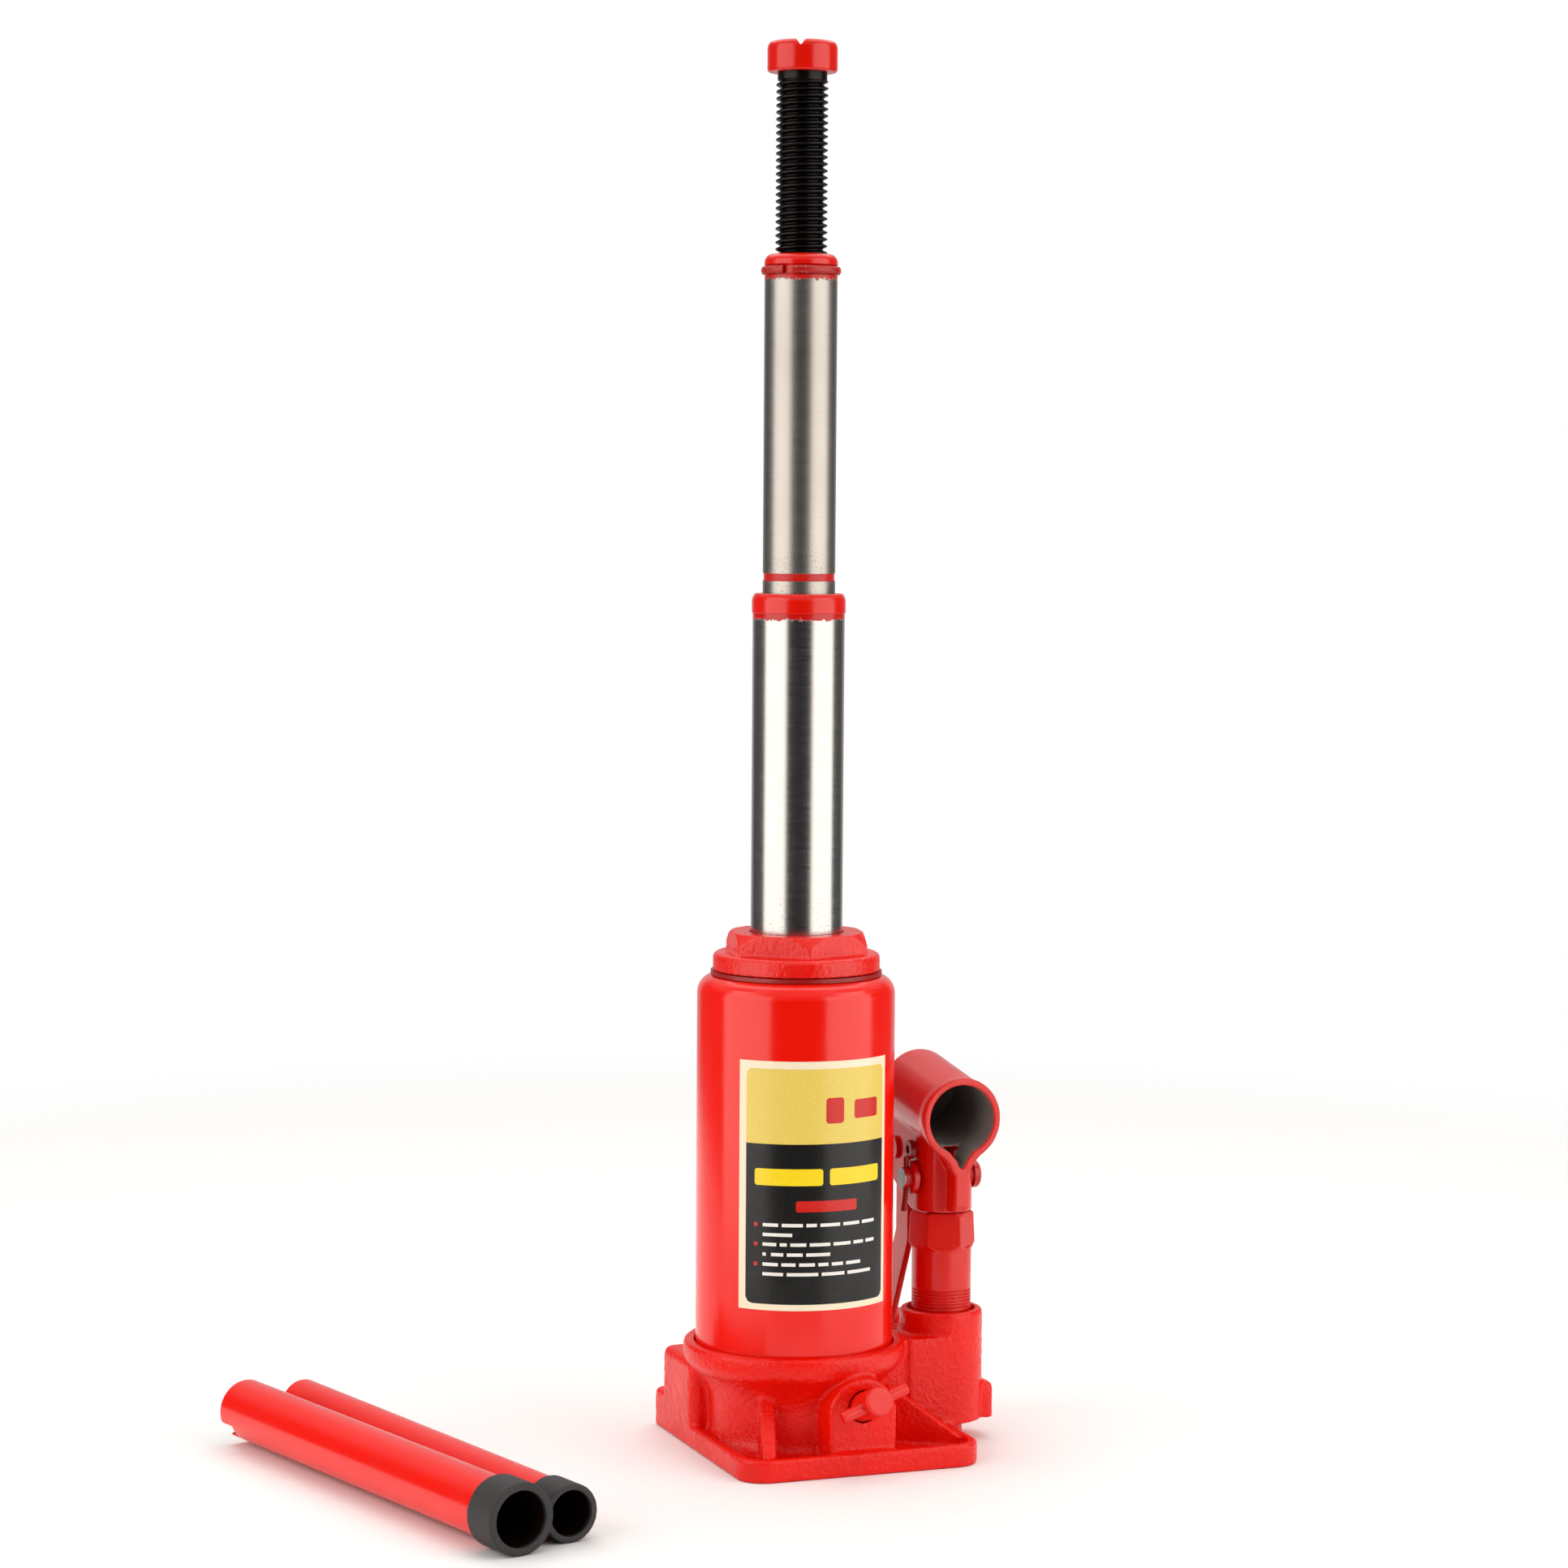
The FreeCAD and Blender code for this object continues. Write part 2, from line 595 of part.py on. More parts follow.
def extension_screw():
    """Threaded bar; the thread form is turned as closed grooves at the true pitch."""
    half = SCREW_PITCH / 2
    flat = SCREW_PITCH / 10
    profile = [(0, SCREW_BOTTOM_Z - 5.0), (SCREW_ROOT_R - 1.9, SCREW_BOTTOM_Z - 5.0),
               (SCREW_ROOT_R - 1.9, SCREW_BOTTOM_Z), (SCREW_ROOT_R, SCREW_BOTTOM_Z)]
    height = SCREW_BOTTOM_Z
    while height + SCREW_PITCH < SCREW_THREAD_TOP_Z:
        profile += [(SCREW_ROOT_R, height + flat), (SCREW_CREST_R, height + half - flat),
                    (SCREW_CREST_R, height + half + flat),
                    (SCREW_ROOT_R, height + SCREW_PITCH - flat)]
        height += SCREW_PITCH
    profile += [(SCREW_ROOT_R, SCREW_THREAD_TOP_Z - 0.4), (SCREW_NECK_R, SCREW_THREAD_TOP_Z),
                (SCREW_NECK_R, SADDLE_BOTTOM_Z), (6.5, SADDLE_BOTTOM_Z),
                (6.5, SADDLE_TOP_Z - 4.0), (0, SADDLE_TOP_Z - 4.0)]
    return turned(profile)


def saddle():
    """Load head pressed on the screw, with a V groove across its top."""
    low = SADDLE_BOTTOM_Z
    top = SADDLE_TOP_Z
    profile = [(6.5, low), (SADDLE_R - 0.6, low), (SADDLE_R, low + 0.8), (SADDLE_R, top - 2.4),
               (SADDLE_R - 0.35, top - 1.2), (SADDLE_R - 1.1, top - 0.35),
               (SADDLE_R - 2.2, top), (0, top), (0, top - 4.0), (6.5, top - 4.0)]
    groove = plate_xz([(-1.9, top + 0.2), (1.9, top + 0.2), (0, top - 2.6)], -20, 20)
    groove.rotate(V(0, 0, 0), Z_AXIS, -24.0)
    return turned(profile).cut(groove)


# ---- pump ------------------------------------------------------------------------------------------------
def pump_cylinder():
    low = PUMP_CYL_BOTTOM_Z
    foot, top = PUMP_HEX_Z
    barrel = cyl(PUMP_CYL_R, low, foot + EPS, PUMP_X)
    for turn in range(6):
        z = PUMP_BOSS_TOP_Z + 0.5 + 1.25 * turn
        barrel = barrel.cut(ring(PUMP_CYL_R + EPS, PUMP_CYL_R - 0.55, z, z + 0.65, PUMP_X))
    corner = PUMP_HEX_CORNERS[0] / 2
    chamfer = turned([(0, foot), (corner - 1.5, foot), (corner, foot + 2.7), (corner, top - 1.8),
                      (corner - 2.0, top), (0, top)], PUMP_X)
    head = hexagon(PUMP_HEX_CORNERS, foot, top, PUMP_HEX_ANGLE, PUMP_X)
    body = fuse_all([barrel, head.common(chamfer)])
    body = body.cut(cyl(PLUNGER_R + RUN, low - EPS, top + EPS, PUMP_X))
    seat = ring(PLUNGER_R + 2.4, PLUNGER_R, 78.0, 81.0, PUMP_X)
    return body.cut(seat).Solids[0]


def pump_washer():
    return ring(PUMP_CYL_R, PLUNGER_R + 0.6, PUMP_CYL_BOTTOM_Z - 1.5, PUMP_CYL_BOTTOM_Z, PUMP_X)


def pump_gland_seal():
    return ring(PLUNGER_R + 2.4, PLUNGER_R + RUN, 78.0, 81.0, PUMP_X)


def pump_plunger():
    rod = cyl(PLUNGER_R, 34.0, 91.0, PUMP_X)
    rod = rod.cut(ring(PLUNGER_R + EPS, PLUNGER_R - 1.4, 37.0, 40.0, PUMP_X))
    head = cyl(PLUNGER_HEAD_R, 89.5, CLEVIS_Z, PUMP_X)
    crown = cyl(PLUNGER_HEAD_R, CLEVIS_Z, CLEVIS_Z + PLUNGER_HEAD_R, PUMP_X)
    crown = crown.common(Part.makeSphere(EAR_HALF_WIDTH - SHEET - RUN, V(PUMP_X, 0, CLEVIS_Z)))
    plunger = fuse_all([rod, head, crown])
    return plunger.cut(cyl_x(CLEVIS_R, PUMP_X - 20, PUMP_X + 20, 0, CLEVIS_Z)).Solids[0]


def plunger_cup_seal():
    return ring(PLUNGER_R + 0.05, PLUNGER_R - 1.4, 37.0, 40.0, PUMP_X)


# ---- linkage ---------------------------------------------------------------------------------------------
def clevis_pin():
    shank = cyl_x(CLEVIS_R, CLEVIS_X[0], CLEVIS_X[1], 0, CLEVIS_Z)
    head = cyl_x(CLEVIS_R + 1.2, PUMP_X + EAR_HALF_WIDTH + RUN, CLEVIS_X[1] + 1.4, 0, CLEVIS_Z)

    def outer_rim(edge):
        return edge.BoundBox.XMin > CLEVIS_X[1] + 1.39
    head = soften(head, 1.2, outer_rim)
    pin = fuse_all([shank, head])
    return pin.cut(cyl(1.1, CLEVIS_Z - 10, CLEVIS_Z + 10, cotter_x())).Solids[0]


def cotter_x():
    return PUMP_X - EAR_HALF_WIDTH - 3.6


def cotter_pin():
    """Split pin through the clevis pin: its eye leans over the pin, its legs hang below."""
    x = cotter_x()
    wire = 1.05
    lean = 1.6
    top = CLEVIS_Z + CLEVIS_WASHER_R + 1.0
    eye_r = 3.6
    eye_z = CLEVIS_Z + 10.7
    eye_x = x + lean
    shank = cyl(wire, CLEVIS_Z - CLEVIS_R - 1.0, top, x)
    rise = V(lean, 0, eye_z - eye_r + 0.8 - top)
    neck = Part.makeCylinder(wire, rise.Length, V(x, 0, top), rise)
    knuckle = Part.makeSphere(wire, V(x, 0, top))
    eye = cyl_x(eye_r, eye_x - 1, eye_x + 1, 0, eye_z).cut(
        cyl_x(eye_r - 1.9, eye_x - 3, eye_x + 3, 0, eye_z))
    legs = []
    for spread in (-4.0, 4.0):
        leg = cyl(0.95, -8.2, 0.4)
        leg.rotate(V(0, 0, 0), X_AXIS, spread)
        leg.rotate(V(0, 0, 0), Y_AXIS, 6.0)
        leg.translate(V(x, 0, CLEVIS_Z - CLEVIS_R - 0.6))
        legs.append(leg)
    return fuse_all([shank, knuckle, neck, eye] + legs)


def clevis_washer():
    low = PUMP_X - EAR_HALF_WIDTH - 2.3
    washer = cyl_x(CLEVIS_WASHER_R, low, low + 1.9, 0, CLEVIS_Z)
    return washer.cut(cyl_x(CLEVIS_R, low - EPS, low + 5, 0, CLEVIS_Z))


def tilted_prism(shape):
    """Carry a shape drawn round the world Y axis onto the socket's inclined tube axis."""
    moved = shape.copy()
    moved.rotate(V(0, 0, 0), X_AXIS, SOCKET_TILT)
    moved.translate(V(PUMP_X, 0, SOCKET_AXIS_Z))
    return moved


def socket_ears():
    """Sheet sides that wrap round the plunger and run back as two parallel ears."""
    top_z = SOCKET_AXIS_Z - 6.0
    slope = [(-30, EAR_BOTTOM_Z), (4.0, EAR_BOTTOM_Z), (SOCKET_BACK_Y, 97.5),
             (SOCKET_BACK_Y, top_z + 4.0), (-30, top_z)]
    outside = cyl(EAR_HALF_WIDTH, 80, top_z + 10, PUMP_X).fuse(
        box((PUMP_X - EAR_HALF_WIDTH, PUMP_X + EAR_HALF_WIDTH), (0, SOCKET_BACK_Y),
            (80, top_z + 10)))
    gap = EAR_HALF_WIDTH - SHEET
    inside = cyl(gap, 70, top_z + 20, PUMP_X).fuse(
        box((PUMP_X - gap, PUMP_X + gap), (0, SOCKET_BACK_Y + EPS), (70, top_z + 20)))
    ears = outside.cut(inside)
    return ears.common(plate_yz(slope, PUMP_X - 20, PUMP_X + 20))


def mirrored_outline(half):
    """Close a list of (x, z) points on the right with their mirror images on the left."""
    return half + [(-x, z) for x, z in reversed(half)]


def handle_socket():
    """Rolled sheet socket: keyhole tube, pinched front tab and two ears on the clevis pin."""
    inner_r = SOCKET_R - SHEET
    long = 60.0
    front = SOCKET_MOUTH_Y
    rim_end = front + 2.5
    flare_end = front + 7.0
    tube = cyl_y(SOCKET_BODY_R, -long, long, 0, 0)
    rim = cyl_y(SOCKET_R, -long, rim_end, 0, 0)
    flare = Part.makeCone(SOCKET_R, SOCKET_BODY_R, flare_end - rim_end, V(0, rim_end, 0), Y_AXIS)
    neck = plate_xz(mirrored_outline([(8.0, -13.3), (6.4, -14.9), (5.2, -16.4), (4.3, -17.8),
                                      (3.8, -19.0), (SHEET, -21.0)]), -long, -13.0)
    bore = cyl_y(inner_r, -long, SOCKET_BORE_END, 0, 0)
    throat = plate_xz(mirrored_outline([(5.6, -11.0), (4.3, -12.7), (3.2, -14.0), (2.2, -15.1),
                                        (1.5, -16.2), (1.2, -17.4), (0.3, -18.5)]), -long, -9.0)
    gap = EAR_HALF_WIDTH - SHEET
    roof = -(SOCKET_BODY_R - 0.9)
    rear_gap = plate_xz([(-gap, roof), (gap, roof), (gap, -30), (-gap, -30)], -9.4, long)
    tab = plate_yz([(front, 91.0), (front + 1.2, 89.6), (front + 3, 89.2), (-9.5, 89.2),
                    (-9.5, 108.0), (front, 108.0)], PUMP_X - SHEET, PUMP_X + SHEET)
    outer = fuse_all([tilted_prism(tube), tilted_prism(rim), tilted_prism(flare),
                      tilted_prism(neck), socket_ears(), tab])
    outer = outer.common(box((PUMP_X - 30, PUMP_X + 30), (front, SOCKET_BACK_Y), (60, 170)))
    socket = outer.cut(tilted_prism(bore)).cut(tilted_prism(throat)).cut(tilted_prism(rear_gap))
    socket = socket.cut(cyl_x(CLEVIS_R + RUN, PUMP_X - 20, PUMP_X + 20, 0, CLEVIS_Z))
    socket = socket.cut(cyl_x(LINK_PIN_R, PUMP_X - 20, PUMP_X + 20, LINK_PIN_Y, LINK_PIN_Z))
    return max(socket.Solids, key=lambda part: part.Volume)


def rivet(radius, half_length, y, z, head_radius, head_height):
    """Pin along X with a rounded head formed at each end."""
    low = PUMP_X - half_length
    high = PUMP_X + half_length
    pieces = [cyl_x(radius, low, high, y, z),
              cyl_x(head_radius, low - head_height, low, y, z),
              cyl_x(head_radius, high, high + head_height, y, z)]
    return fuse_all(pieces)


def link_pin():
    return rivet(LINK_PIN_R, EAR_HALF_WIDTH, LINK_PIN_Y, LINK_PIN_Z, LINK_PIN_R + 1.4, 1.4)


def fulcrum_pin():
    return rivet(FULCRUM_R, strap_offset() + STRAP_THICKNESS, FULCRUM_Y, FULCRUM_Z,
                 FULCRUM_R + 1.8, 1.6)


def strap_offset():
    """Distance from the pump axis to the inner face of each strap."""
    return EAR_HALF_WIDTH - SHEET - RUN - STRAP_THICKNESS


def link_strap(side):
    """Cranked flat bar from the socket's rear pin down to the base; its top hole is a slot."""
    inner = PUMP_X + side * strap_offset()
    outer = inner + side * STRAP_THICKNESS
    low = min(inner, outer)
    high = max(inner, outer)
    half = STRAP_HALF_WIDTH
    top_y = LINK_PIN_Y + STRAP_SLOT_TRAVEL / 2
    lean = math.atan2(FULCRUM_Y - top_y, STRAP_BEND_Z - FULCRUM_Z)
    dy = half * math.cos(lean)
    dz = half * math.sin(lean)
    step = half * math.tan(lean / 2)
    outline = [(top_y - half, LINK_PIN_Z), (top_y - half, STRAP_BEND_Z - step),
               (FULCRUM_Y - dy, FULCRUM_Z - dz), (FULCRUM_Y + dy, FULCRUM_Z + dz),
               (top_y + half, STRAP_BEND_Z + step), (top_y + half, LINK_PIN_Z)]
    bar = fuse_all([plate_yz(outline, low, high),
                    cyl_x(half, low, high, top_y, LINK_PIN_Z),
                    cyl_x(half, low, high, FULCRUM_Y, FULCRUM_Z)])
    for shift in (0, STRAP_SLOT_TRAVEL):
        bar = bar.cut(cyl_x(LINK_PIN_R + STRAP_SLOT_CLEARANCE, low - EPS, high + EPS,
                            LINK_PIN_Y + shift, LINK_PIN_Z))
    return bar.cut(cyl_x(FULCRUM_R, low - EPS, high + EPS, FULCRUM_Y, FULCRUM_Z)).Solids[0]


# ---- release valve ---------------------------------------------------------------------------------------
def cross_pin_shape(radius):
    direction = valve_direction()
    centre = VALVE_MOUTH + direction * (VALVE_REACH - CROSS_PIN_SETBACK)
    pin = Part.makeCylinder(radius, CROSS_PIN_LENGTH, centre - X_AXIS * (CROSS_PIN_LENGTH / 2),
                            X_AXIS)
    pin.rotate(centre, direction, CROSS_PIN_TURN)
    return pin


def release_valve():
    head = along_valve(VALVE_R, -12.0, VALVE_REACH)

    def face_rim(edge):
        return edge.BoundBox.YMax < VALVE_MOUTH.y - VALVE_REACH * 0.7
    head = soften(head, 0.6, face_rim)
    thread = along_valve(4.2, -VALVE_DEPTH + 1.0, -12.0)
    direction = valve_direction()
    tip = Part.makeCone(1.6, 4.2, 2.5, VALVE_MOUTH + direction * (-VALVE_DEPTH - 1.5), direction)
    seat = along_valve(VALVE_R + EPS, -6.5, -4.0).cut(along_valve(VALVE_R - 1.3, -8, -2))
    stem = fuse_all([head, thread, tip]).cut(seat)
    return stem.cut(cross_pin_shape(CROSS_PIN_R)).Solids[0]


def release_valve_ring():
    body = along_valve(VALVE_R + 0.1, -6.5, -4.0)
    return body.cut(along_valve(VALVE_R - 1.3, -8, -2))


def release_valve_pin():
    pin = cross_pin_shape(CROSS_PIN_R)
    return pin.makeChamfer(0.5, [edge for edge in pin.Edges if edge.Closed])


def release_valve_ball():
    direction = valve_direction()
    return Part.makeSphere(2.9, VALVE_MOUTH + direction * (-VALVE_DEPTH - 4.6))


# ---- handle sections -------------------------------------------------------------------------------------
def lay_on_floor(shape, near_end, radius, heading):
    """Carry a piece drawn along +Y from the origin to its place on the floor."""
    moved = shape.copy()
    moved.rotate(V(0, 0, 0), Z_AXIS, heading)
    moved.translate(V(near_end.x, near_end.y, radius))
    return moved


def small_near_end():
    turn = math.radians(HANDLE_HEADING)
    along = V(-math.sin(turn), math.cos(turn), 0)
    across = V(math.cos(turn), math.sin(turn), 0)
    return BIG_NEAR_END + along * SMALL_SETBACK + across * (BIG_GRIP_R + SMALL_GRIP_R + 0.2)


def tube_along_y(outer, inner, start, end):
    return cyl_y(outer, start, end, 0, 0).cut(cyl_y(inner, start - EPS, end + EPS, 0, 0))


def handle_tube_large():
    """Wide section; its far end is notched on both sides to grip the release valve's pin."""
    tube = tube_along_y(BIG_TUBE_R, BIG_TUBE_R - TUBE_WALL, GRIP_LIP, BIG_LENGTH)
    notch = box((-20, 20), (BIG_LENGTH - 8.0, BIG_LENGTH + EPS), (-3.2, 3.2))
    notch.rotate(V(0, 0, 0), Y_AXIS, -38.0)
    return lay_on_floor(tube.cut(notch), BIG_NEAR_END, BIG_GRIP_R, HANDLE_HEADING)


def handle_grip(tube_r, grip_r):
    sleeve = tube_along_y(grip_r, tube_r, GRIP_LIP, GRIP_LENGTH)
    lip = tube_along_y(grip_r, tube_r - TUBE_WALL, 0, GRIP_LIP)
    return fuse_all([sleeve, lip])


def handle_grip_large():
    grip = handle_grip(BIG_TUBE_R, BIG_GRIP_R)
    return lay_on_floor(grip, BIG_NEAR_END, BIG_GRIP_R, HANDLE_HEADING)


def handle_tube_small():
    """Narrow section; its plain end slides into the wide section."""
    tube = tube_along_y(SMALL_TUBE_R, SMALL_TUBE_R - TUBE_WALL, GRIP_LIP, SMALL_LENGTH)
    return lay_on_floor(tube, small_near_end(), SMALL_GRIP_R, SMALL_HEADING)


def handle_grip_small():
    grip = handle_grip(SMALL_TUBE_R, SMALL_GRIP_R)
    return lay_on_floor(grip, small_near_end(), SMALL_GRIP_R, SMALL_HEADING)


# ---- export ----------------------------------------------------------------------------------------------
def link_strap_left():
    return link_strap(-1)


def link_strap_right():
    return link_strap(1)


PIECES = [
    base_casting, outlet_check_ball, outlet_check_spring, inlet_check_ball, inlet_check_spring,
    passage_plug, relief_valve_screw, relief_valve_spring, relief_valve_ball, casing_gasket,
    reservoir_casing, filler_plug, label_sticker, pressure_cylinder, cylinder_seal, top_nut,
    top_nut_gasket, rod_seal, outer_ram, outer_piston_seal, outer_stop_ring, outer_ram_collar,
    collar_seal, inner_ram, inner_piston_seal, inner_stop_ring, inner_ram_collar, collar_clip,
    screw_stop_ring, extension_screw, saddle, pump_cylinder, pump_washer, pump_gland_seal,
    pump_plunger, plunger_cup_seal, clevis_pin, cotter_pin, clevis_washer, handle_socket,
    link_pin, link_strap_left, link_strap_right, fulcrum_pin, release_valve,
    release_valve_ring, release_valve_pin, release_valve_ball, handle_tube_large,
    handle_grip_large, handle_tube_small, handle_grip_small,
]

os.makedirs("parts", exist_ok=True)
for piece in PIECES:
    shape = piece()
    print(piece.__name__, "valid" if shape.isValid() else "INVALID", len(shape.Solids), "solid")
    shape.exportStep(os.path.join("parts", piece.__name__ + ".step"))
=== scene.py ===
import json
import math

import bmesh
import bpy
from mathutils import Matrix, Vector


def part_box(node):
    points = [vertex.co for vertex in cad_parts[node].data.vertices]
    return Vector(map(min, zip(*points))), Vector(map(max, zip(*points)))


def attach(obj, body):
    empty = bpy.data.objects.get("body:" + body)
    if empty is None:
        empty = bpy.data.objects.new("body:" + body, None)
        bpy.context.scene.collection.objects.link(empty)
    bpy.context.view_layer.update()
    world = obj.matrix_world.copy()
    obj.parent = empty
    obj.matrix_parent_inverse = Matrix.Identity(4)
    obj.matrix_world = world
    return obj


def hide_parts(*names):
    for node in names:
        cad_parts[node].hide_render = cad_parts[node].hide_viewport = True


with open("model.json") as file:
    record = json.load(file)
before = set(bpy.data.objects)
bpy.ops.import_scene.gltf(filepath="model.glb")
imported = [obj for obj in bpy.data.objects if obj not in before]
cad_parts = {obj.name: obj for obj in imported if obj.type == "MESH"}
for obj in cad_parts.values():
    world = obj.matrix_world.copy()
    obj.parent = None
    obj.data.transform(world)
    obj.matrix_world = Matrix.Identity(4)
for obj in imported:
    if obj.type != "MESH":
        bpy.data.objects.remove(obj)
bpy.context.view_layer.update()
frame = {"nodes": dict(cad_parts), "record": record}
nodes = frame["nodes"]


# ---- base casting ---------------------------------------------------------------------------
# The foot, ram housing, pump block and valve boss are one grey-iron sand casting, fettled
# at the edges and sprayed with red enamel. Everything else screws or drops into it.
MM = 0.001


def linear(hex_colour):
    """One sRGB hex colour as the linear RGBA that Blender works in."""
    shares = [int(hex_colour[at:at + 2], 16) / 255 for at in (1, 3, 5)]
    return [s / 12.92 if s <= 0.04045 else ((s + 0.055) / 1.055) ** 2.4 for s in shares] + [1.0]


def add(tree, kind, sockets=None, **settings):
    """Add one node with its settings, and fill or link its input sockets."""
    node = tree.nodes.new(kind)
    for key, value in settings.items():
        setattr(node, key, value)
    for key, value in (sockets or {}).items():
        if isinstance(value, bpy.types.NodeSocket):
            tree.links.new(value, node.inputs[key])
        else:
            node.inputs[key].default_value = value
    return node


def start_material(name):
    material = bpy.data.materials.new(name)
    material.use_nodes = True
    tree = material.node_tree
    where = add(tree, "ShaderNodeTexCoord").outputs["Object"]
    return material, tree, tree.nodes["Principled BSDF"], where


def paint_coat(tree, shader, where, shades, grain_mm, relief_mm, roughness, peel_mm=0.006):
    """Sprayed enamel: shade drifts slowly, and it follows the grain of the metal below."""
    drift = add(tree, "ShaderNodeTexNoise", {"Vector": where, "Scale": 1 / (14 * MM), "Detail": 2.0})
    colour = add(tree, "ShaderNodeMix", {0: drift.outputs["Fac"], 6: linear(shades[0]),
                                         7: linear(shades[1])}, data_type="RGBA")
    grain = add(tree, "ShaderNodeTexNoise", {"Vector": where, "Scale": 1 / (grain_mm * MM),
                                             "Detail": 3.0, "Roughness": 0.55})
    peel = add(tree, "ShaderNodeTexNoise", {"Vector": where, "Scale": 1 / (0.9 * MM), "Detail": 1.0})
    under = add(tree, "ShaderNodeBump", {"Height": grain.outputs["Fac"],
                                         "Distance": relief_mm * MM})
    normal = add(tree, "ShaderNodeBump", {"Height": peel.outputs["Fac"],
                                          "Distance": peel_mm * MM,
                                          "Normal": under.outputs["Normal"]})
    gloss = add(tree, "ShaderNodeMapRange", {"Value": drift.outputs["Fac"], 1: 0.3, 2: 0.7,
                                             3: roughness * 0.8, 4: roughness * 1.25})
    tree.links.new(colour.outputs[2], shader.inputs["Base Color"])
    tree.links.new(gloss.outputs[0], shader.inputs["Roughness"])
    tree.links.new(normal.outputs["Normal"], shader.inputs["Normal"])
    return colour.outputs[2]


def enamel_on(name, shades, grain_mm, relief_mm, roughness, peel_mm=0.006):
    material, tree, shader, where = start_material(name)
    paint_coat(tree, shader, where, shades, grain_mm, relief_mm, roughness, peel_mm)
    return material


def eased_copy(node, voxel_mm, passes, name, body, sand=None):
    """A copy of a CAD node with its edges and corners softened; sand = (grain, depth) in mm."""
    source = nodes[node].data.copy()
    shell = bmesh.new()
    shell.from_mesh(source)
    bmesh.ops.remove_doubles(shell, verts=shell.verts, dist=0.002 * MM)
    shell.to_mesh(source)
    shell.free()
    rough = bpy.data.objects.new(name + "_rough", source)
    bpy.context.scene.collection.objects.link(rough)
    remesh = rough.modifiers.new("remesh", "REMESH")
    remesh.mode = "VOXEL"
    remesh.voxel_size = voxel_mm * MM
    ease = rough.modifiers.new("ease", "SMOOTH")
    ease.factor = 0.5
    ease.iterations = passes
    if sand:
        grain_mm, depth_mm = sand
        mould = bpy.data.textures.new(name + "_mould", "CLOUDS")
        mould.noise_scale = grain_mm * MM
        mould.noise_depth = 2
        pitted = rough.modifiers.new("pitted", "DISPLACE")
        pitted.texture = mould
        pitted.texture_coords = "LOCAL"
        pitted.mid_level = 1.0
        pitted.strength = depth_mm * MM
    view = bpy.context.evaluated_depsgraph_get()
    mesh = bpy.data.meshes.new_from_object(rough.evaluated_get(view))
    bpy.data.objects.remove(rough)
    mesh.materials.clear()
    mesh.polygons.foreach_set("use_smooth", [True] * len(mesh.polygons))
    piece = bpy.data.objects.new(name, mesh)
    bpy.context.scene.collection.objects.link(piece)
    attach(piece, body)
    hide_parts(node)
    return piece


CAST_REDS = ("#F41403", "#DA0F02")
cast_enamel = enamel_on("enamel_over_sand_cast_iron", CAST_REDS, 1.2, 0.34, 0.25)
# The thick coat on the rough iron has a softer shine than the enamel on smooth tube.
cast_enamel.node_tree.nodes["Principled BSDF"].inputs["Specular IOR Level"].default_value = 0.32
base = eased_copy("base_casting", 0.65, 5, "base_cast_iron", "jack_body", (1.7, 0.42))
base.data.materials.append(cast_enamel)


# ---- valves and plugs in the base -----------------------------------------------------------
# Hardened bearing balls, music-wire springs and slotted or socketed screws close the oil
# ways. They are bought-in steel, zinc plated where a tool turns them.
def steel(name, hex_colour, roughness, line_mm, relief_mm, squash_z=1.0):
    """Bare steel with machining lines a given distance apart; squash_z > 1 lays them level."""
    material, tree, shader, where = start_material(name)
    shader.inputs["Metallic"].default_value = 1.0
    stretched = add(tree, "ShaderNodeMapping", {"Vector": where, "Scale": (1.0, 1.0, squash_z)})
    lines = add(tree, "ShaderNodeTexNoise", {"Vector": stretched.outputs[0], "Detail": 2.0,
                                             "Scale": 1 / (line_mm * squash_z * MM)})
    stain = add(tree, "ShaderNodeTexNoise", {"Vector": where, "Scale": 1 / (5 * MM), "Detail": 4.0})
    dark = [c * 0.72 for c in linear(hex_colour)[:3]] + [1.0]
    colour = add(tree, "ShaderNodeMix", {0: stain.outputs["Fac"], 6: dark, 7: linear(hex_colour)},
                 data_type="RGBA")
    gloss = add(tree, "ShaderNodeMapRange", {"Value": lines.outputs["Fac"], 1: 0.3, 2: 0.7,
                                             3: roughness * 0.75, 4: roughness * 1.3})
    normal = add(tree, "ShaderNodeBump", {"Height": lines.outputs["Fac"],
                                          "Distance": relief_mm * MM})
    tree.links.new(colour.outputs[2], shader.inputs["Base Color"])
    tree.links.new(gloss.outputs[0], shader.inputs["Roughness"])
    tree.links.new(normal.outputs["Normal"], shader.inputs["Normal"])
    return material


def dress(names, material):
    for name in names:
        slots = nodes[name].data.materials
        slots.clear()
        slots.append(material)


zinc_steel = steel("zinc_plated_steel", "#B9B6AE", 0.33, 0.5, 0.004)
dress(("outlet_check_ball", "outlet_check_spring", "inlet_check_ball", "inlet_check_spring",
       "passage_plug", "relief_valve_screw", "relief_valve_spring", "relief_valve_ball",
       "release_valve_ball"), zinc_steel)


# ---- reservoir ------------------------------------------------------------------------------
# The oil reservoir is a seamless steel tube spun in at the top and held between the base's
# cup and the top nut. It is smooth, so its red enamel is the glossiest on the jack.
tube_enamel = enamel_on("enamel_over_drawn_steel", ("#F01404", "#E81203"), 3.0, 0.012, 0.17, 0.002)
dress(("reservoir_casing",), tube_enamel)


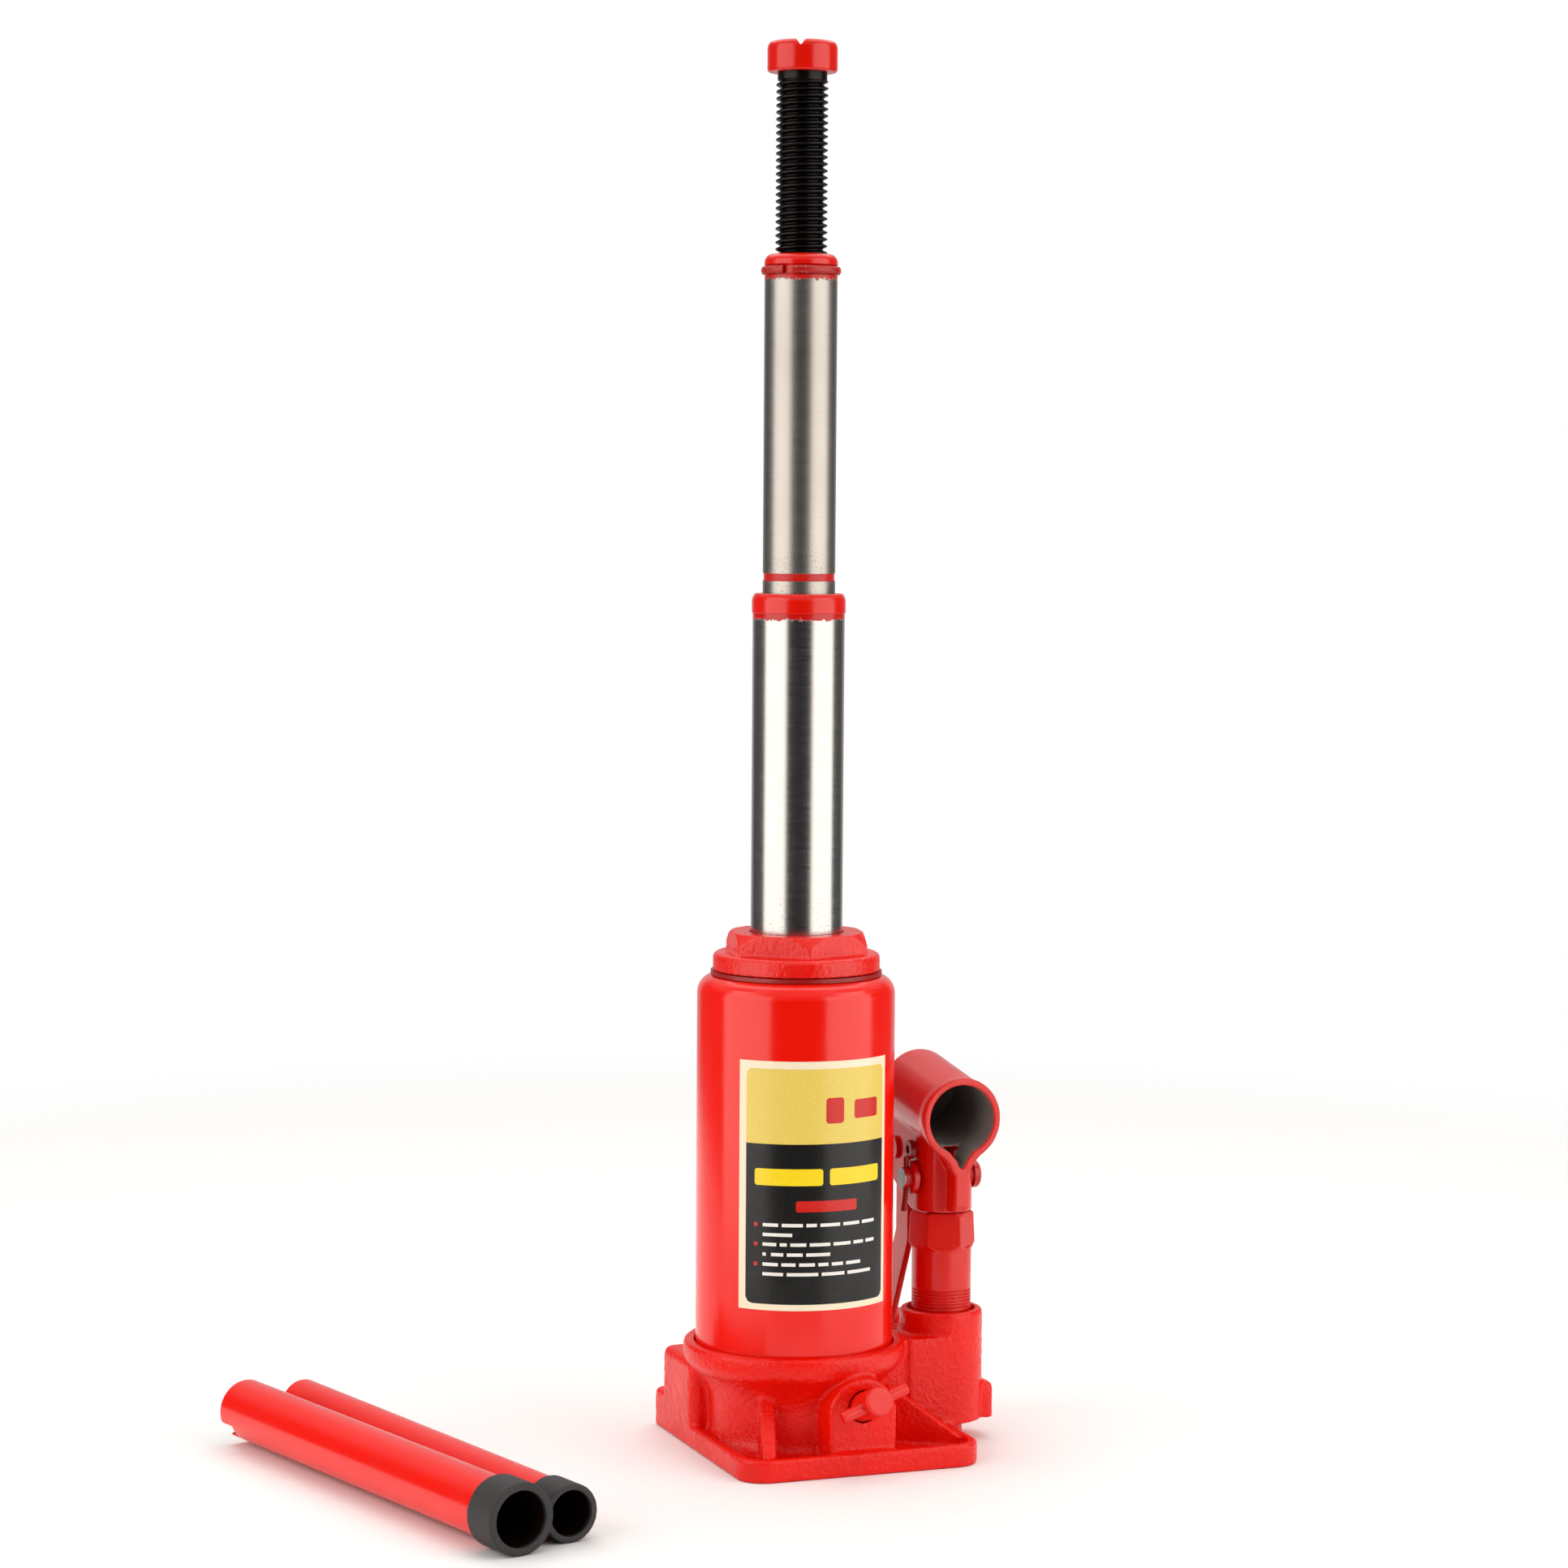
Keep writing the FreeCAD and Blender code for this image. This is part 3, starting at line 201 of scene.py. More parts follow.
def rubber(name, hex_colour, roughness, grain_mm):
    """Moulded nitrile rubber: matt black with a faint bloom and a fine moulded grain."""
    material, tree, shader, where = start_material(name)
    bloom = add(tree, "ShaderNodeTexNoise", {"Vector": where, "Scale": 1 / (6 * MM), "Detail": 3.0})
    pale = [c * 1.9 for c in linear(hex_colour)[:3]] + [1.0]
    colour = add(tree, "ShaderNodeMix", {0: bloom.outputs["Fac"], 6: linear(hex_colour), 7: pale},
                 data_type="RGBA")
    grain = add(tree, "ShaderNodeTexNoise", {"Vector": where, "Scale": 1 / (grain_mm * MM)})
    normal = add(tree, "ShaderNodeBump", {"Height": grain.outputs["Fac"], "Distance": 0.03 * MM})
    shader.inputs["Roughness"].default_value = roughness
    tree.links.new(colour.outputs[2], shader.inputs["Base Color"])
    tree.links.new(normal.outputs["Normal"], shader.inputs["Normal"])
    return material


nitrile = rubber("black_nitrile_rubber", "#161414", 0.55, 0.6)
dress(("casing_gasket", "filler_plug"), nitrile)


# ---- sticker --------------------------------------------------------------------------------
# A printed vinyl sticker wraps the front of the reservoir: cream margin, a yellow panel
# over a black one, and plain bars where a maker would print words.
def printed_vinyl(name, hex_colour):
    material, tree, shader, where = start_material(name)
    ink = add(tree, "ShaderNodeTexNoise", {"Vector": where, "Scale": 1 / (0.5 * MM), "Detail": 3.0})
    thin = [min(1.0, c * 1.12 + 0.012) for c in linear(hex_colour)[:3]] + [1.0]
    share = add(tree, "ShaderNodeMapRange", {"Value": ink.outputs["Fac"], 1: 0.35, 2: 0.75})
    colour = add(tree, "ShaderNodeMix", {0: share.outputs[0], 6: linear(hex_colour), 7: thin},
                 data_type="RGBA")
    ripple = add(tree, "ShaderNodeTexNoise", {"Vector": where, "Scale": 1 / (9 * MM), "Detail": 1.0})
    normal = add(tree, "ShaderNodeBump", {"Height": ripple.outputs["Fac"], "Distance": 0.12 * MM})
    shader.inputs["Roughness"].default_value = 0.28
    shader.inputs["Specular IOR Level"].default_value = 0.35
    tree.links.new(colour.outputs[2], shader.inputs["Base Color"])
    tree.links.new(normal.outputs["Normal"], shader.inputs["Normal"])
    return material


cream_vinyl = printed_vinyl("cream_vinyl", "#F0E3C6")
dress(("label_sticker",), cream_vinyl)
STICKER_R = -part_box("label_sticker")[0].y / MM
INK_LAYER = 0.03


def printed_patches(name, patches, layer, material):
    """Inked areas: (left, right) degrees, (low, high) mm, (foot, head) corner radii in mm."""
    ink_r = STICKER_R + layer * INK_LAYER
    mm_per_degree = math.radians(ink_r)
    surface = bmesh.new()
    for (left, right), (low, high), corners in patches:
        rows = []
        steps_up = 16 if any(corners) else 1
        for step in range(steps_up + 1):
            height = low + (high - low) * (1 - math.cos(math.pi * step / steps_up)) / 2
            inset = 0.0
            for corner, edge in zip(corners, (height - low, high - height)):
                if edge < corner:
                    inset = corner - math.sqrt(max(0.0, corner ** 2 - (corner - edge) ** 2))
            start = left + inset / mm_per_degree
            end = right - inset / mm_per_degree
            columns = max(2, int((right - left) / 2))
            row = []
            for column in range(columns + 1):
                turn = math.radians(-90 + start + (end - start) * column / columns)
                row.append(surface.verts.new((ink_r * MM * math.cos(turn),
                                              ink_r * MM * math.sin(turn), height * MM)))
            rows.append(row)
        for lower, upper in zip(rows, rows[1:]):
            for at in range(len(lower) - 1):
                surface.faces.new((lower[at], lower[at + 1], upper[at + 1], upper[at]))
    mesh = bpy.data.meshes.new(name)
    surface.to_mesh(mesh)
    surface.free()
    mesh.polygons.foreach_set("use_smooth", [True] * len(mesh.polygons))
    mesh.materials.append(material)
    piece = bpy.data.objects.new(name, mesh)
    bpy.context.scene.collection.objects.link(piece)
    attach(piece, "jack_body")
    return piece


PANEL_EDGES = (-49.5, 39.0)
PANEL_FOOT, PANEL_SPLIT, PANEL_HEAD = 62.2, 121.5, 149.2
PANEL_CORNER = 2.6
printed_patches("sticker_yellow", [(PANEL_EDGES, (PANEL_SPLIT, PANEL_HEAD), (0, PANEL_CORNER))], 1,
                printed_vinyl("yellow_ink", "#E2C75F"))
printed_patches("sticker_black", [(PANEL_EDGES, (PANEL_FOOT, PANEL_SPLIT), (PANEL_CORNER, 0))], 1,
                printed_vinyl("black_ink", "#090807"))
BAR_REDS = [((-3.0, 8.0), (129.0, 138.5), (1.2, 1.2)),
            ((15.0, 33.0), (130.3, 137.3), (1.0, 1.0)),
            ((-20.0, 17.0), (96.5, 100.6), (0.8, 0.8))]
BULLET_R = 0.8
for bullet_z in (91.6, 84.4, 77.0):
    BAR_REDS.append(((-44.4, -42.0), (bullet_z - BULLET_R, bullet_z + BULLET_R), (0.75, 0.75)))
printed_patches("sticker_red_bars", BAR_REDS, 2, printed_vinyl("red_ink", "#C81A10"))
printed_patches("sticker_yellow_bar",
                [((-44.0, -4.5), (106.2, 112.4), (1.0, 1.0)),
                 ((-0.5, 34.5), (106.2, 112.4), (1.0, 1.0))], 2,
                printed_vinyl("yellow_letter_ink", "#F2D21B"))
# Each row of dashes: its height, then each dash's left and right edge in degrees.
DASH_HALF = 0.62
WORDS = ((91.6, ((-39, -30), (-28, -16), (-14, -8), (-6, 6), (8, 19), (21, 31))),
         (88.0, ((-39, -22),)),
         (84.4, ((-39, -31), (-29, -25), (-23, -14), (-12, 0), (2, 13), (15, 22), (24, 31))),
         (80.7, ((-39, -37), (-34, -27), (-25, -16), (-14, 0))),
         (77.0, ((-39, -30), (-28, -20), (-18, -9), (-7, -1), (1, 8), (10, 20))),
         (73.4, ((-39, -27), (-25, -7), (-5, 9), (11, 28))))
printed_patches("sticker_white_lines",
                [((left, right), (height - DASH_HALF, height + DASH_HALF), (0, 0))
                 for height, row in WORDS for left, right in row], 2,
                printed_vinyl("white_ink", "#E9E6E0"))


# ---- pressure cylinder and seals ------------------------------------------------------------
# Inside the reservoir a honed steel cylinder guides the outer ram. Nitrile rings seal it
# and both rams; none of this shows from outside.
honed_steel = steel("honed_steel_tube", "#9C978E", 0.3, 0.4, 0.004, 5.0)
dress(("pressure_cylinder", "outer_stop_ring", "inner_stop_ring", "screw_stop_ring"), honed_steel)
dress(("cylinder_seal", "rod_seal", "outer_piston_seal", "collar_seal",
       "inner_piston_seal", "pump_washer", "pump_gland_seal", "plunger_cup_seal"), nitrile)


# ---- top nut --------------------------------------------------------------------------------
# A cast hexagon nut with a turned flange clamps the reservoir down. Its flats are left as
# cast and its top is turned to a cone, all under the same red enamel.
nut_enamel = enamel_on("enamel_over_cast_nut", CAST_REDS, 1.1, 0.22, 0.28)
nut = eased_copy("top_nut", 0.42, 3, "top_nut_cast", "jack_body", (1.7, 0.3))
nut.data.materials.append(nut_enamel)
dress(("top_nut_gasket",), enamel_on("enamel_over_gasket", ("#A80E08", "#7E0A06"), 1.4, 0.06, 0.4))


# ---- outer ram ------------------------------------------------------------------------------
# The outer ram is ground steel tube. Its screwed collar was painted after assembly, so a
# ragged, speckled edge of red enamel runs just below the joint.
def ground_ram(name, paint_spans, speckle_z, warm, roughness):
    """Ground steel with level grinding lines; paint_spans are (low, high, ragged) mm in height."""
    material, tree, shader, where = start_material(name)
    split = add(tree, "ShaderNodeSeparateXYZ", {0: where})
    height = add(tree, "ShaderNodeMath", {0: split.outputs["Z"], 1: 1 / MM}, operation="MULTIPLY")
    level = add(tree, "ShaderNodeMapping", {"Vector": where, "Scale": (1.0, 1.0, 26.0)})
    lines = add(tree, "ShaderNodeTexNoise", {"Vector": level.outputs[0], "Scale": 1 / (11 * MM),
                                             "Detail": 4.0, "Roughness": 0.7})
    clouds = add(tree, "ShaderNodeTexNoise", {"Vector": where, "Scale": 1 / (26 * MM),
                                              "Detail": 3.0})
    metal = add(tree, "ShaderNodeMix", {0: clouds.outputs["Fac"], 6: linear(warm[0]),
                                        7: linear(warm[1])}, data_type="RGBA")
    banded = add(tree, "ShaderNodeMapRange", {"Value": lines.outputs["Fac"], 1: 0.25, 2: 0.75,
                                              3: 0.86, 4: 1.0})
    steel_colour = add(tree, "ShaderNodeMix", {0: 1.0, 6: metal.outputs[2],
                                               7: banded.outputs[0]},
                       data_type="RGBA", blend_type="MULTIPLY")
    specks = add(tree, "ShaderNodeTexNoise", {"Vector": where, "Scale": 1 / (0.55 * MM),
                                              "Detail": 2.0})
    low_down = add(tree, "ShaderNodeMapRange", {"Value": height.outputs[0], 1: speckle_z[0],
                                                2: speckle_z[1], 3: 0.13, 4: 0.0})
    rust_limit = add(tree, "ShaderNodeMath", {0: specks.outputs["Fac"], 1: low_down.outputs[0]},
                     operation="ADD")
    rust = add(tree, "ShaderNodeMapRange", {"Value": rust_limit.outputs[0], 1: 0.76, 2: 0.8,
                                            3: 0.0, 4: 0.8})
    bare = add(tree, "ShaderNodeMix", {0: rust.outputs[0], 6: steel_colour.outputs[2],
                                       7: linear("#6B4A2C")}, data_type="RGBA")
    ragged = add(tree, "ShaderNodeTexNoise", {"Vector": where, "Scale": 1 / (1.3 * MM),
                                              "Detail": 5.0, "Roughness": 0.75})
    edge = 0.08
    cover = None
    for low, high, depth in paint_spans:
        shifted = add(tree, "ShaderNodeMath", {0: ragged.outputs["Fac"], 1: depth, 2: -depth / 2},
                      operation="MULTIPLY_ADD")
        at = add(tree, "ShaderNodeMath", {0: height.outputs[0], 1: shifted.outputs[0]},
                 operation="ADD")
        above = add(tree, "ShaderNodeMapRange", {"Value": at.outputs[0], 1: low - edge,
                                                 2: low + edge})
        below = add(tree, "ShaderNodeMapRange", {"Value": at.outputs[0], 1: high - edge,
                                                 2: high + edge, 3: 1.0, 4: 0.0})
        band = add(tree, "ShaderNodeMath", {0: above.outputs[0], 1: below.outputs[0]},
                   operation="MULTIPLY").outputs[0]
        if cover is not None:
            band = add(tree, "ShaderNodeMath", {0: band, 1: cover}, operation="MAXIMUM").outputs[0]
        cover = band
    colour = add(tree, "ShaderNodeMix", {0: cover, 6: bare.outputs[2], 7: linear("#C9120B")},
                 data_type="RGBA")
    metallic = add(tree, "ShaderNodeMath", {0: 1.0, 1: cover}, operation="SUBTRACT")
    gloss = add(tree, "ShaderNodeMapRange", {"Value": lines.outputs["Fac"], 1: 0.3, 2: 0.7,
                                             3: roughness[0], 4: roughness[1]})
    tall = add(tree, "ShaderNodeMath", {0: cover, 1: 3.0, 2: lines.outputs["Fac"]},
               operation="MULTIPLY_ADD")
    normal = add(tree, "ShaderNodeBump", {"Height": tall.outputs[0], "Distance": 0.012 * MM})
    tree.links.new(colour.outputs[2], shader.inputs["Base Color"])
    tree.links.new(metallic.outputs[0], shader.inputs["Metallic"])
    tree.links.new(gloss.outputs[0], shader.inputs["Roughness"])
    tree.links.new(normal.outputs["Normal"], shader.inputs["Normal"])
    return material


OUTER_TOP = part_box("outer_ram")[1].z / MM
outer_steel = ground_ram("ground_steel_outer_ram", [(OUTER_TOP - 2.2, OUTER_TOP + 9, 5.0)],
                         (196.0, 240.0), ("#C9C7C4", "#BDBAB6"), (0.17, 0.27))
dress(("outer_ram",), outer_steel)
collar_enamel = enamel_on("enamel_over_turned_steel", ("#EC1404", "#DC1103"), 2.0, 0.02, 0.2,
                          0.004)
outer_collar = eased_copy("outer_ram_collar", 0.3, 3, "outer_collar_turned", "outer_ram_body")
outer_collar.data.materials.append(collar_enamel)


# ---- inner ram ------------------------------------------------------------------------------
# The inner ram is ground to a softer, satin finish. A shallow groove near its foot is painted
# red as the full-height mark, and paint from the collar above has run onto the first few mm.
INNER_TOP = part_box("inner_ram")[1].z / MM
MARK_GROOVE = (326.6, 329.4, 0.0)
inner_steel = ground_ram("ground_steel_inner_ram",
                         [MARK_GROOVE, (INNER_TOP - 1.6, INNER_TOP + 9, 6.5)],
                         (330.0, 366.0), ("#B9B4AE", "#A8A29A"), (0.3, 0.38))
dress(("inner_ram",), inner_steel)
inner_collar = eased_copy("inner_ram_collar", 0.3, 3, "inner_collar_turned", "inner_ram_body")
inner_collar.data.materials.append(collar_enamel)


def worn_enamel(name, shades, bare_share, metal_hex):
    """Enamel chipped back to bare metal in patches; bare_share runs from 0 to 1."""
    material, tree, shader, where = start_material(name)
    colour = paint_coat(tree, shader, where, shades, 1.0, 0.05, 0.32)
    flakes = add(tree, "ShaderNodeTexNoise", {"Vector": where, "Scale": 1 / (2.2 * MM),
                                              "Detail": 4.0, "Roughness": 0.65})
    limit = 0.5 + 0.22 * (0.5 - bare_share) * 2
    bare = add(tree, "ShaderNodeMapRange", {"Value": flakes.outputs["Fac"], 1: limit - 0.02,
                                            2: limit + 0.02})
    shade = add(tree, "ShaderNodeMix", {0: bare.outputs[0], 6: colour, 7: linear(metal_hex)},
                data_type="RGBA")
    tree.links.new(shade.outputs[2], shader.inputs["Base Color"])
    tree.links.new(bare.outputs[0], shader.inputs["Metallic"])
    return material


clip_finish = worn_enamel("worn_enamel_on_spring_steel", ("#C5120B", "#A80E08"), 0.2, "#8F877E")
dress(("collar_clip",), clip_finish)


# ---- extension screw ------------------------------------------------------------------------
# A right-hand metric thread is cut on a steel bar and blacked. It winds up out of the inner
# ram by hand until the saddle meets the load.
THREAD_PITCH = 2.5
THREAD_CREST_R = 9.6
THREAD_ROOT_R = 7.95
screw_low, screw_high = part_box("extension_screw")
THREAD_TOP = 510.4
NECK_R = 9.15
NECK_TOP = screw_high.z / MM


def thread_radius(turn, height):
    """Radius of the thread's flank at one angle and height; the groove runs out at the neck."""
    phase = (height / THREAD_PITCH - turn / math.tau) % 1.0
    distance = abs(phase - 0.5) * 2
    rise = min(1.0, max(0.0, (distance - 0.14) / 0.66))
    cut = THREAD_ROOT_R + (THREAD_CREST_R - THREAD_ROOT_R) * rise
    run_out = min(1.0, max(0.0, (THREAD_TOP - height) / 0.8))
    return NECK_R * (1 - run_out) + cut * run_out


def helical_screw():
    steps_round = 72
    rows_per_pitch = 12
    low = screw_low.z / MM
    count = int((THREAD_TOP - low) / THREAD_PITCH * rows_per_pitch)
    heights = [low + (THREAD_TOP - low) * row / count for row in range(count + 1)]
    heights += [THREAD_TOP + 0.4, NECK_TOP - 0.35, NECK_TOP]
    surface = bmesh.new()
    rows = []
    for height in heights:
        row = []
        for step in range(steps_round):
            turn = math.tau * step / steps_round
            radius = thread_radius(turn, height) if height <= THREAD_TOP else NECK_R
            row.append(surface.verts.new((radius * MM * math.cos(turn),
                                          radius * MM * math.sin(turn), height * MM)))
        rows.append(row)
    for lower, upper in zip(rows, rows[1:]):
        for at in range(steps_round):
            after = (at + 1) % steps_round
            surface.faces.new((lower[at], lower[after], upper[after], upper[at]))
    surface.faces.new(list(reversed(rows[0])))
    surface.faces.new(rows[-1])
    mesh = bpy.data.meshes.new("extension_screw_thread")
    surface.to_mesh(mesh)
    surface.free()
    mesh.polygons.foreach_set("use_smooth", [True] * len(mesh.polygons))
    return bpy.data.objects.new("extension_screw_thread", mesh)


screw = helical_screw()
bpy.context.scene.collection.objects.link(screw)
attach(screw, "screw_body")
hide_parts("extension_screw")
blacked_steel = steel("blacked_steel", "#2E2B2A", 0.3, 0.3, 0.01, 4.0)
screw.data.materials.append(blacked_steel)


# ---- saddle ---------------------------------------------------------------------------------
# The load saddle is a turned steel cap pressed on the screw, with a groove cut across its
# top. It has the same smooth red enamel as the collars, all over.
saddle = eased_copy("saddle", 0.3, 4, "saddle_turned", "screw_body")
saddle.data.materials.append(collar_enamel)


# ---- pump -----------------------------------------------------------------------------------
# The pump barrel screws into the base's boss, with a hexagon forged on its upper end. The
# plunger slides in it under the handle socket, and was sprayed with it.
barrel_enamel = enamel_on("enamel_over_machined_steel", ("#E01303", "#C81002"), 1.6, 0.05, 0.24)
barrel = eased_copy("pump_cylinder", 0.25, 1, "pump_barrel", "jack_body")
barrel.data.materials.append(barrel_enamel)
dress(("pump_plunger",), barrel_enamel)


# ---- clevis pin -----------------------------------------------------------------------------
# A headed pin joins the plunger to the socket's ears, held by a washer and a bent split
# pin. Its sawn end is bare; the rest was sprayed along with the jack.
def pin_with_bare_end(name, bare_x_mm):
    material, tree, shader, where = start_material(name)
    colour = paint_coat(tree, shader, where, ("#C40F09", "#B00C07"), 1.0, 0.03, 0.3)
    split = add(tree, "ShaderNodeSeparateXYZ", {0: where})
    bare = add(tree, "ShaderNodeMath", {0: split.outputs["X"], 1: bare_x_mm * MM},
               operation="LESS_THAN")
    shade = add(tree, "ShaderNodeMix", {0: bare.outputs[0], 6: colour, 7: linear("#8E8884")},
                data_type="RGBA")
    tree.links.new(shade.outputs[2], shader.inputs["Base Color"])
    tree.links.new(bare.outputs[0], shader.inputs["Metallic"])
    return material


SAWN_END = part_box("clevis_pin")[0].x / MM
dress(("clevis_pin",), pin_with_bare_end("clevis_pin_enamel", SAWN_END + 0.4))
dress(("cotter_pin",), worn_enamel("worn_enamel_on_soft_wire", ("#9C0D08", "#7A0A06"), 0.12,
                                    "#6E6762"))
dress(("clevis_washer",), barrel_enamel)


# ---- handle socket --------------------------------------------------------------------------
# The socket is one pressed steel sheet rolled round the handle's tube and pinched together
# in front, with two ears on the pins. Its bore kept the mill scale; the outside is sprayed.
sheet_enamel = enamel_on("enamel_over_pressed_sheet", ("#DE1203", "#C60F02"), 2.4, 0.03, 0.22)
mill_scale = steel("mill_scale_on_sheet", "#8A7F7A", 0.55, 0.8, 0.01)
mill_scale.node_tree.nodes["Principled BSDF"].inputs["Metallic"].default_value = 0.0


def mount(name):
    return next(entry for entry in frame["record"]["mounts"] if entry["name"] == name)


socket_bore = mount("handle_socket")
BORE_X, _, BORE_Z = (value / MM for value in socket_bore["pos_m"])
BORE_RISE = Vector((0.0, socket_bore["axis"][2], -socket_bore["axis"][1]))
BORE_REACH = socket_bore["dims"]["r_mm"] + 1.0
BORE_END_DEPTH = 7.0
THROAT_HALF_WIDTH = 8.6
THROAT_HEAD, THROAT_FOOT = -8.0, -19.5
SHEET_EDGE = 0.6
socket = eased_copy("handle_socket", 0.4, 3, "handle_socket_pressed", "socket_body")
socket.data.materials.append(sheet_enamel)
socket.data.materials.append(mill_scale)
SOCKET_MOUTH, SOCKET_BACK = (corner.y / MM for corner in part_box("handle_socket"))
for face in socket.data.polygons:
    x, y, z = (value / MM for value in face.center)
    across = x - BORE_X
    above = (z - BORE_Z) * BORE_RISE.z + y * BORE_RISE.y
    faces_axis = face.normal.x * across + face.normal.z * above < 0
    near_bore = math.hypot(across, above) < BORE_REACH
    in_throat = (abs(across) < THROAT_HALF_WIDTH and THROAT_FOOT < above < THROAT_HEAD
                 and abs(face.normal.y) < 0.6)
    on_end = near_bore and y > SOCKET_BACK - BORE_END_DEPTH and face.normal.y < -0.5
    if y > SOCKET_MOUTH + SHEET_EDGE and (on_end or (faces_axis and (near_bore or in_throat))):
        face.material_index = 1


# ---- link straps ----------------------------------------------------------------------------
# Two cranked flat bars tie the back of the socket to the base, riveted at both ends, so the
# socket rocks over a moving fulcrum as the pump is worked.
for side in ("left", "right"):
    strap = eased_copy("link_strap_" + side, 0.35, 2, "link_bar_" + side, "link_body")
    strap.data.materials.append(sheet_enamel)
for pin, body in (("link_pin", "socket_body"), ("fulcrum_pin", "link_body")):
    rivet = eased_copy(pin, 0.3, 3, pin + "_rivet", body)
    rivet.data.materials.append(sheet_enamel)


# ---- release valve --------------------------------------------------------------------------
# A steel spindle screws into the valve boss and seats on a ball. A short cross pin pressed
# through its head lets fingers, or the notched handle, turn it.
valve_enamel = enamel_on("enamel_over_valve_spindle", ("#E81C10", "#DA140A"), 1.2, 0.06, 0.32)
spindle = eased_copy("release_valve", 0.28, 3, "release_valve_spindle", "valve_body")
spindle.data.materials.append(valve_enamel)
cross_pin = eased_copy("release_valve_pin", 0.25, 2, "release_valve_cross_pin", "valve_body")
cross_pin.data.materials.append(valve_enamel)
dress(("release_valve_ring",), nitrile)


# ---- pumping handle -------------------------------------------------------------------------
# The handle is two thin welded tubes that push together, sprayed red outside and left raw
# in the bore, each with a black rubber ferrule moulded over its end. The raw bore is
# coloured near-black as painted shade for the dark inside of the tube.
def tube_enamel_with_painted_bore_shade(name, bore):
    """Glossy enamel outside; the raw steel bore is coloured near-black as painted shade."""
    material, tree, shader, where = start_material(name)
    colour = paint_coat(tree, shader, where, ("#EE1404", "#E21203"), 3.0, 0.015, 0.2, 0.003)
    reach = add(tree, "ShaderNodeVectorMath", {0: where, 1: bore["pos_m"]}, operation="SUBTRACT")
    swept = add(tree, "ShaderNodeVectorMath", {0: reach.outputs[0], 1: bore["axis"]},
                operation="CROSS_PRODUCT")
    radius = add(tree, "ShaderNodeVectorMath", {0: swept.outputs[0]}, operation="LENGTH")
    inside = add(tree, "ShaderNodeMath", {0: radius.outputs["Value"],
                                          1: (bore["dims"]["r_mm"] + 0.4) * MM},
                 operation="LESS_THAN")
    # painted shade: every surface within the bore's radius is coloured near-black instead of enamel
    shade = add(tree, "ShaderNodeMix", {0: inside.outputs[0], 6: colour, 7: linear("#1D0E0D")},
                data_type="RGBA")
    tree.links.new(shade.outputs[2], shader.inputs["Base Color"])
    return material


for size in ("large", "small"):
    dress(("handle_tube_" + size,),
          tube_enamel_with_painted_bore_shade("enamel_over_welded_tube_" + size,
                                    mount(size + "_handle_bore")))
ferrule_rubber = rubber("moulded_ferrule_rubber", "#1F1C1D", 0.6, 0.7)
for size in ("large", "small"):
    ferrule = eased_copy("handle_grip_" + size, 0.35, 3, "handle_ferrule_" + size,
                         "handle_" + size + "_body")
    ferrule.data.materials.append(ferrule_rubber)


# ---- floor, light and camera ----------------------------------------------------------------
# The jack stands on white paper that fades into a white room. One soft box hangs above, and
# two stand at its sides; the rams mirror the unlit gap between those as dark bands.
HEADING = Vector((0.3518, 0.9361, 0.0))
PAPER_SIZE = 2.4
PAPER_CENTRE = HEADING * 0.28
floor_mesh = bpy.data.meshes.new("floor_paper")
floor_mesh.from_pydata([tuple(PAPER_CENTRE + Vector((x, y, 0)) * (PAPER_SIZE / 2))
                        for x, y in ((-1, -1), (1, -1), (1, 1), (-1, 1))], [], [(0, 1, 2, 3)])
floor = bpy.data.objects.new("floor_paper", floor_mesh)
bpy.context.scene.collection.objects.link(floor)
paper, paper_tree, paper_shader, paper_where = start_material("white_paper")
fibre = add(paper_tree, "ShaderNodeTexNoise", {"Vector": paper_where, "Scale": 1 / (3 * MM)})
tone = add(paper_tree, "ShaderNodeMix", {0: fibre.outputs["Fac"], 6: linear("#F6F6F6"),
                                         7: linear("#F1F1F1")}, data_type="RGBA")
outward = add(paper_tree, "ShaderNodeVectorMath", {0: paper_where, 1: tuple(PAPER_CENTRE)},
              operation="DISTANCE")
fade = add(paper_tree, "ShaderNodeMapRange", {"Value": outward.outputs["Value"], 1: 0.5, 2: 0.8,
                                              3: 1.0, 4: 0.0}, interpolation_type="SMOOTHSTEP")
paper_shader.inputs["Roughness"].default_value = 0.9
paper_tree.links.new(tone.outputs[2], paper_shader.inputs["Base Color"])
paper_tree.links.new(fade.outputs[0], paper_shader.inputs["Alpha"])
floor_mesh.materials.append(paper)

PITCH = math.radians(4.2)
ROLL = math.radians(0.39)
LENS = 91.3
CAMERA_PLACE = (-0.5243, -1.3808, 0.3594)
forward = HEADING * math.cos(PITCH) - Vector((0, 0, 1)) * math.sin(PITCH)
right = forward.cross(Vector((0, 0, 1))).normalized()
up = right.cross(forward)
side = right * math.cos(ROLL) + up * math.sin(ROLL)
crown = up * math.cos(ROLL) - right * math.sin(ROLL)
camera = bpy.data.objects.new("camera", bpy.data.cameras.new("camera"))
bpy.context.scene.collection.objects.link(camera)
camera.data.sensor_width = 36.0
camera.data.lens = LENS
camera.matrix_world = (Matrix.Translation(CAMERA_PLACE)
                       @ Matrix((side, crown, -forward)).transposed().to_4x4())
bpy.context.scene.camera = camera


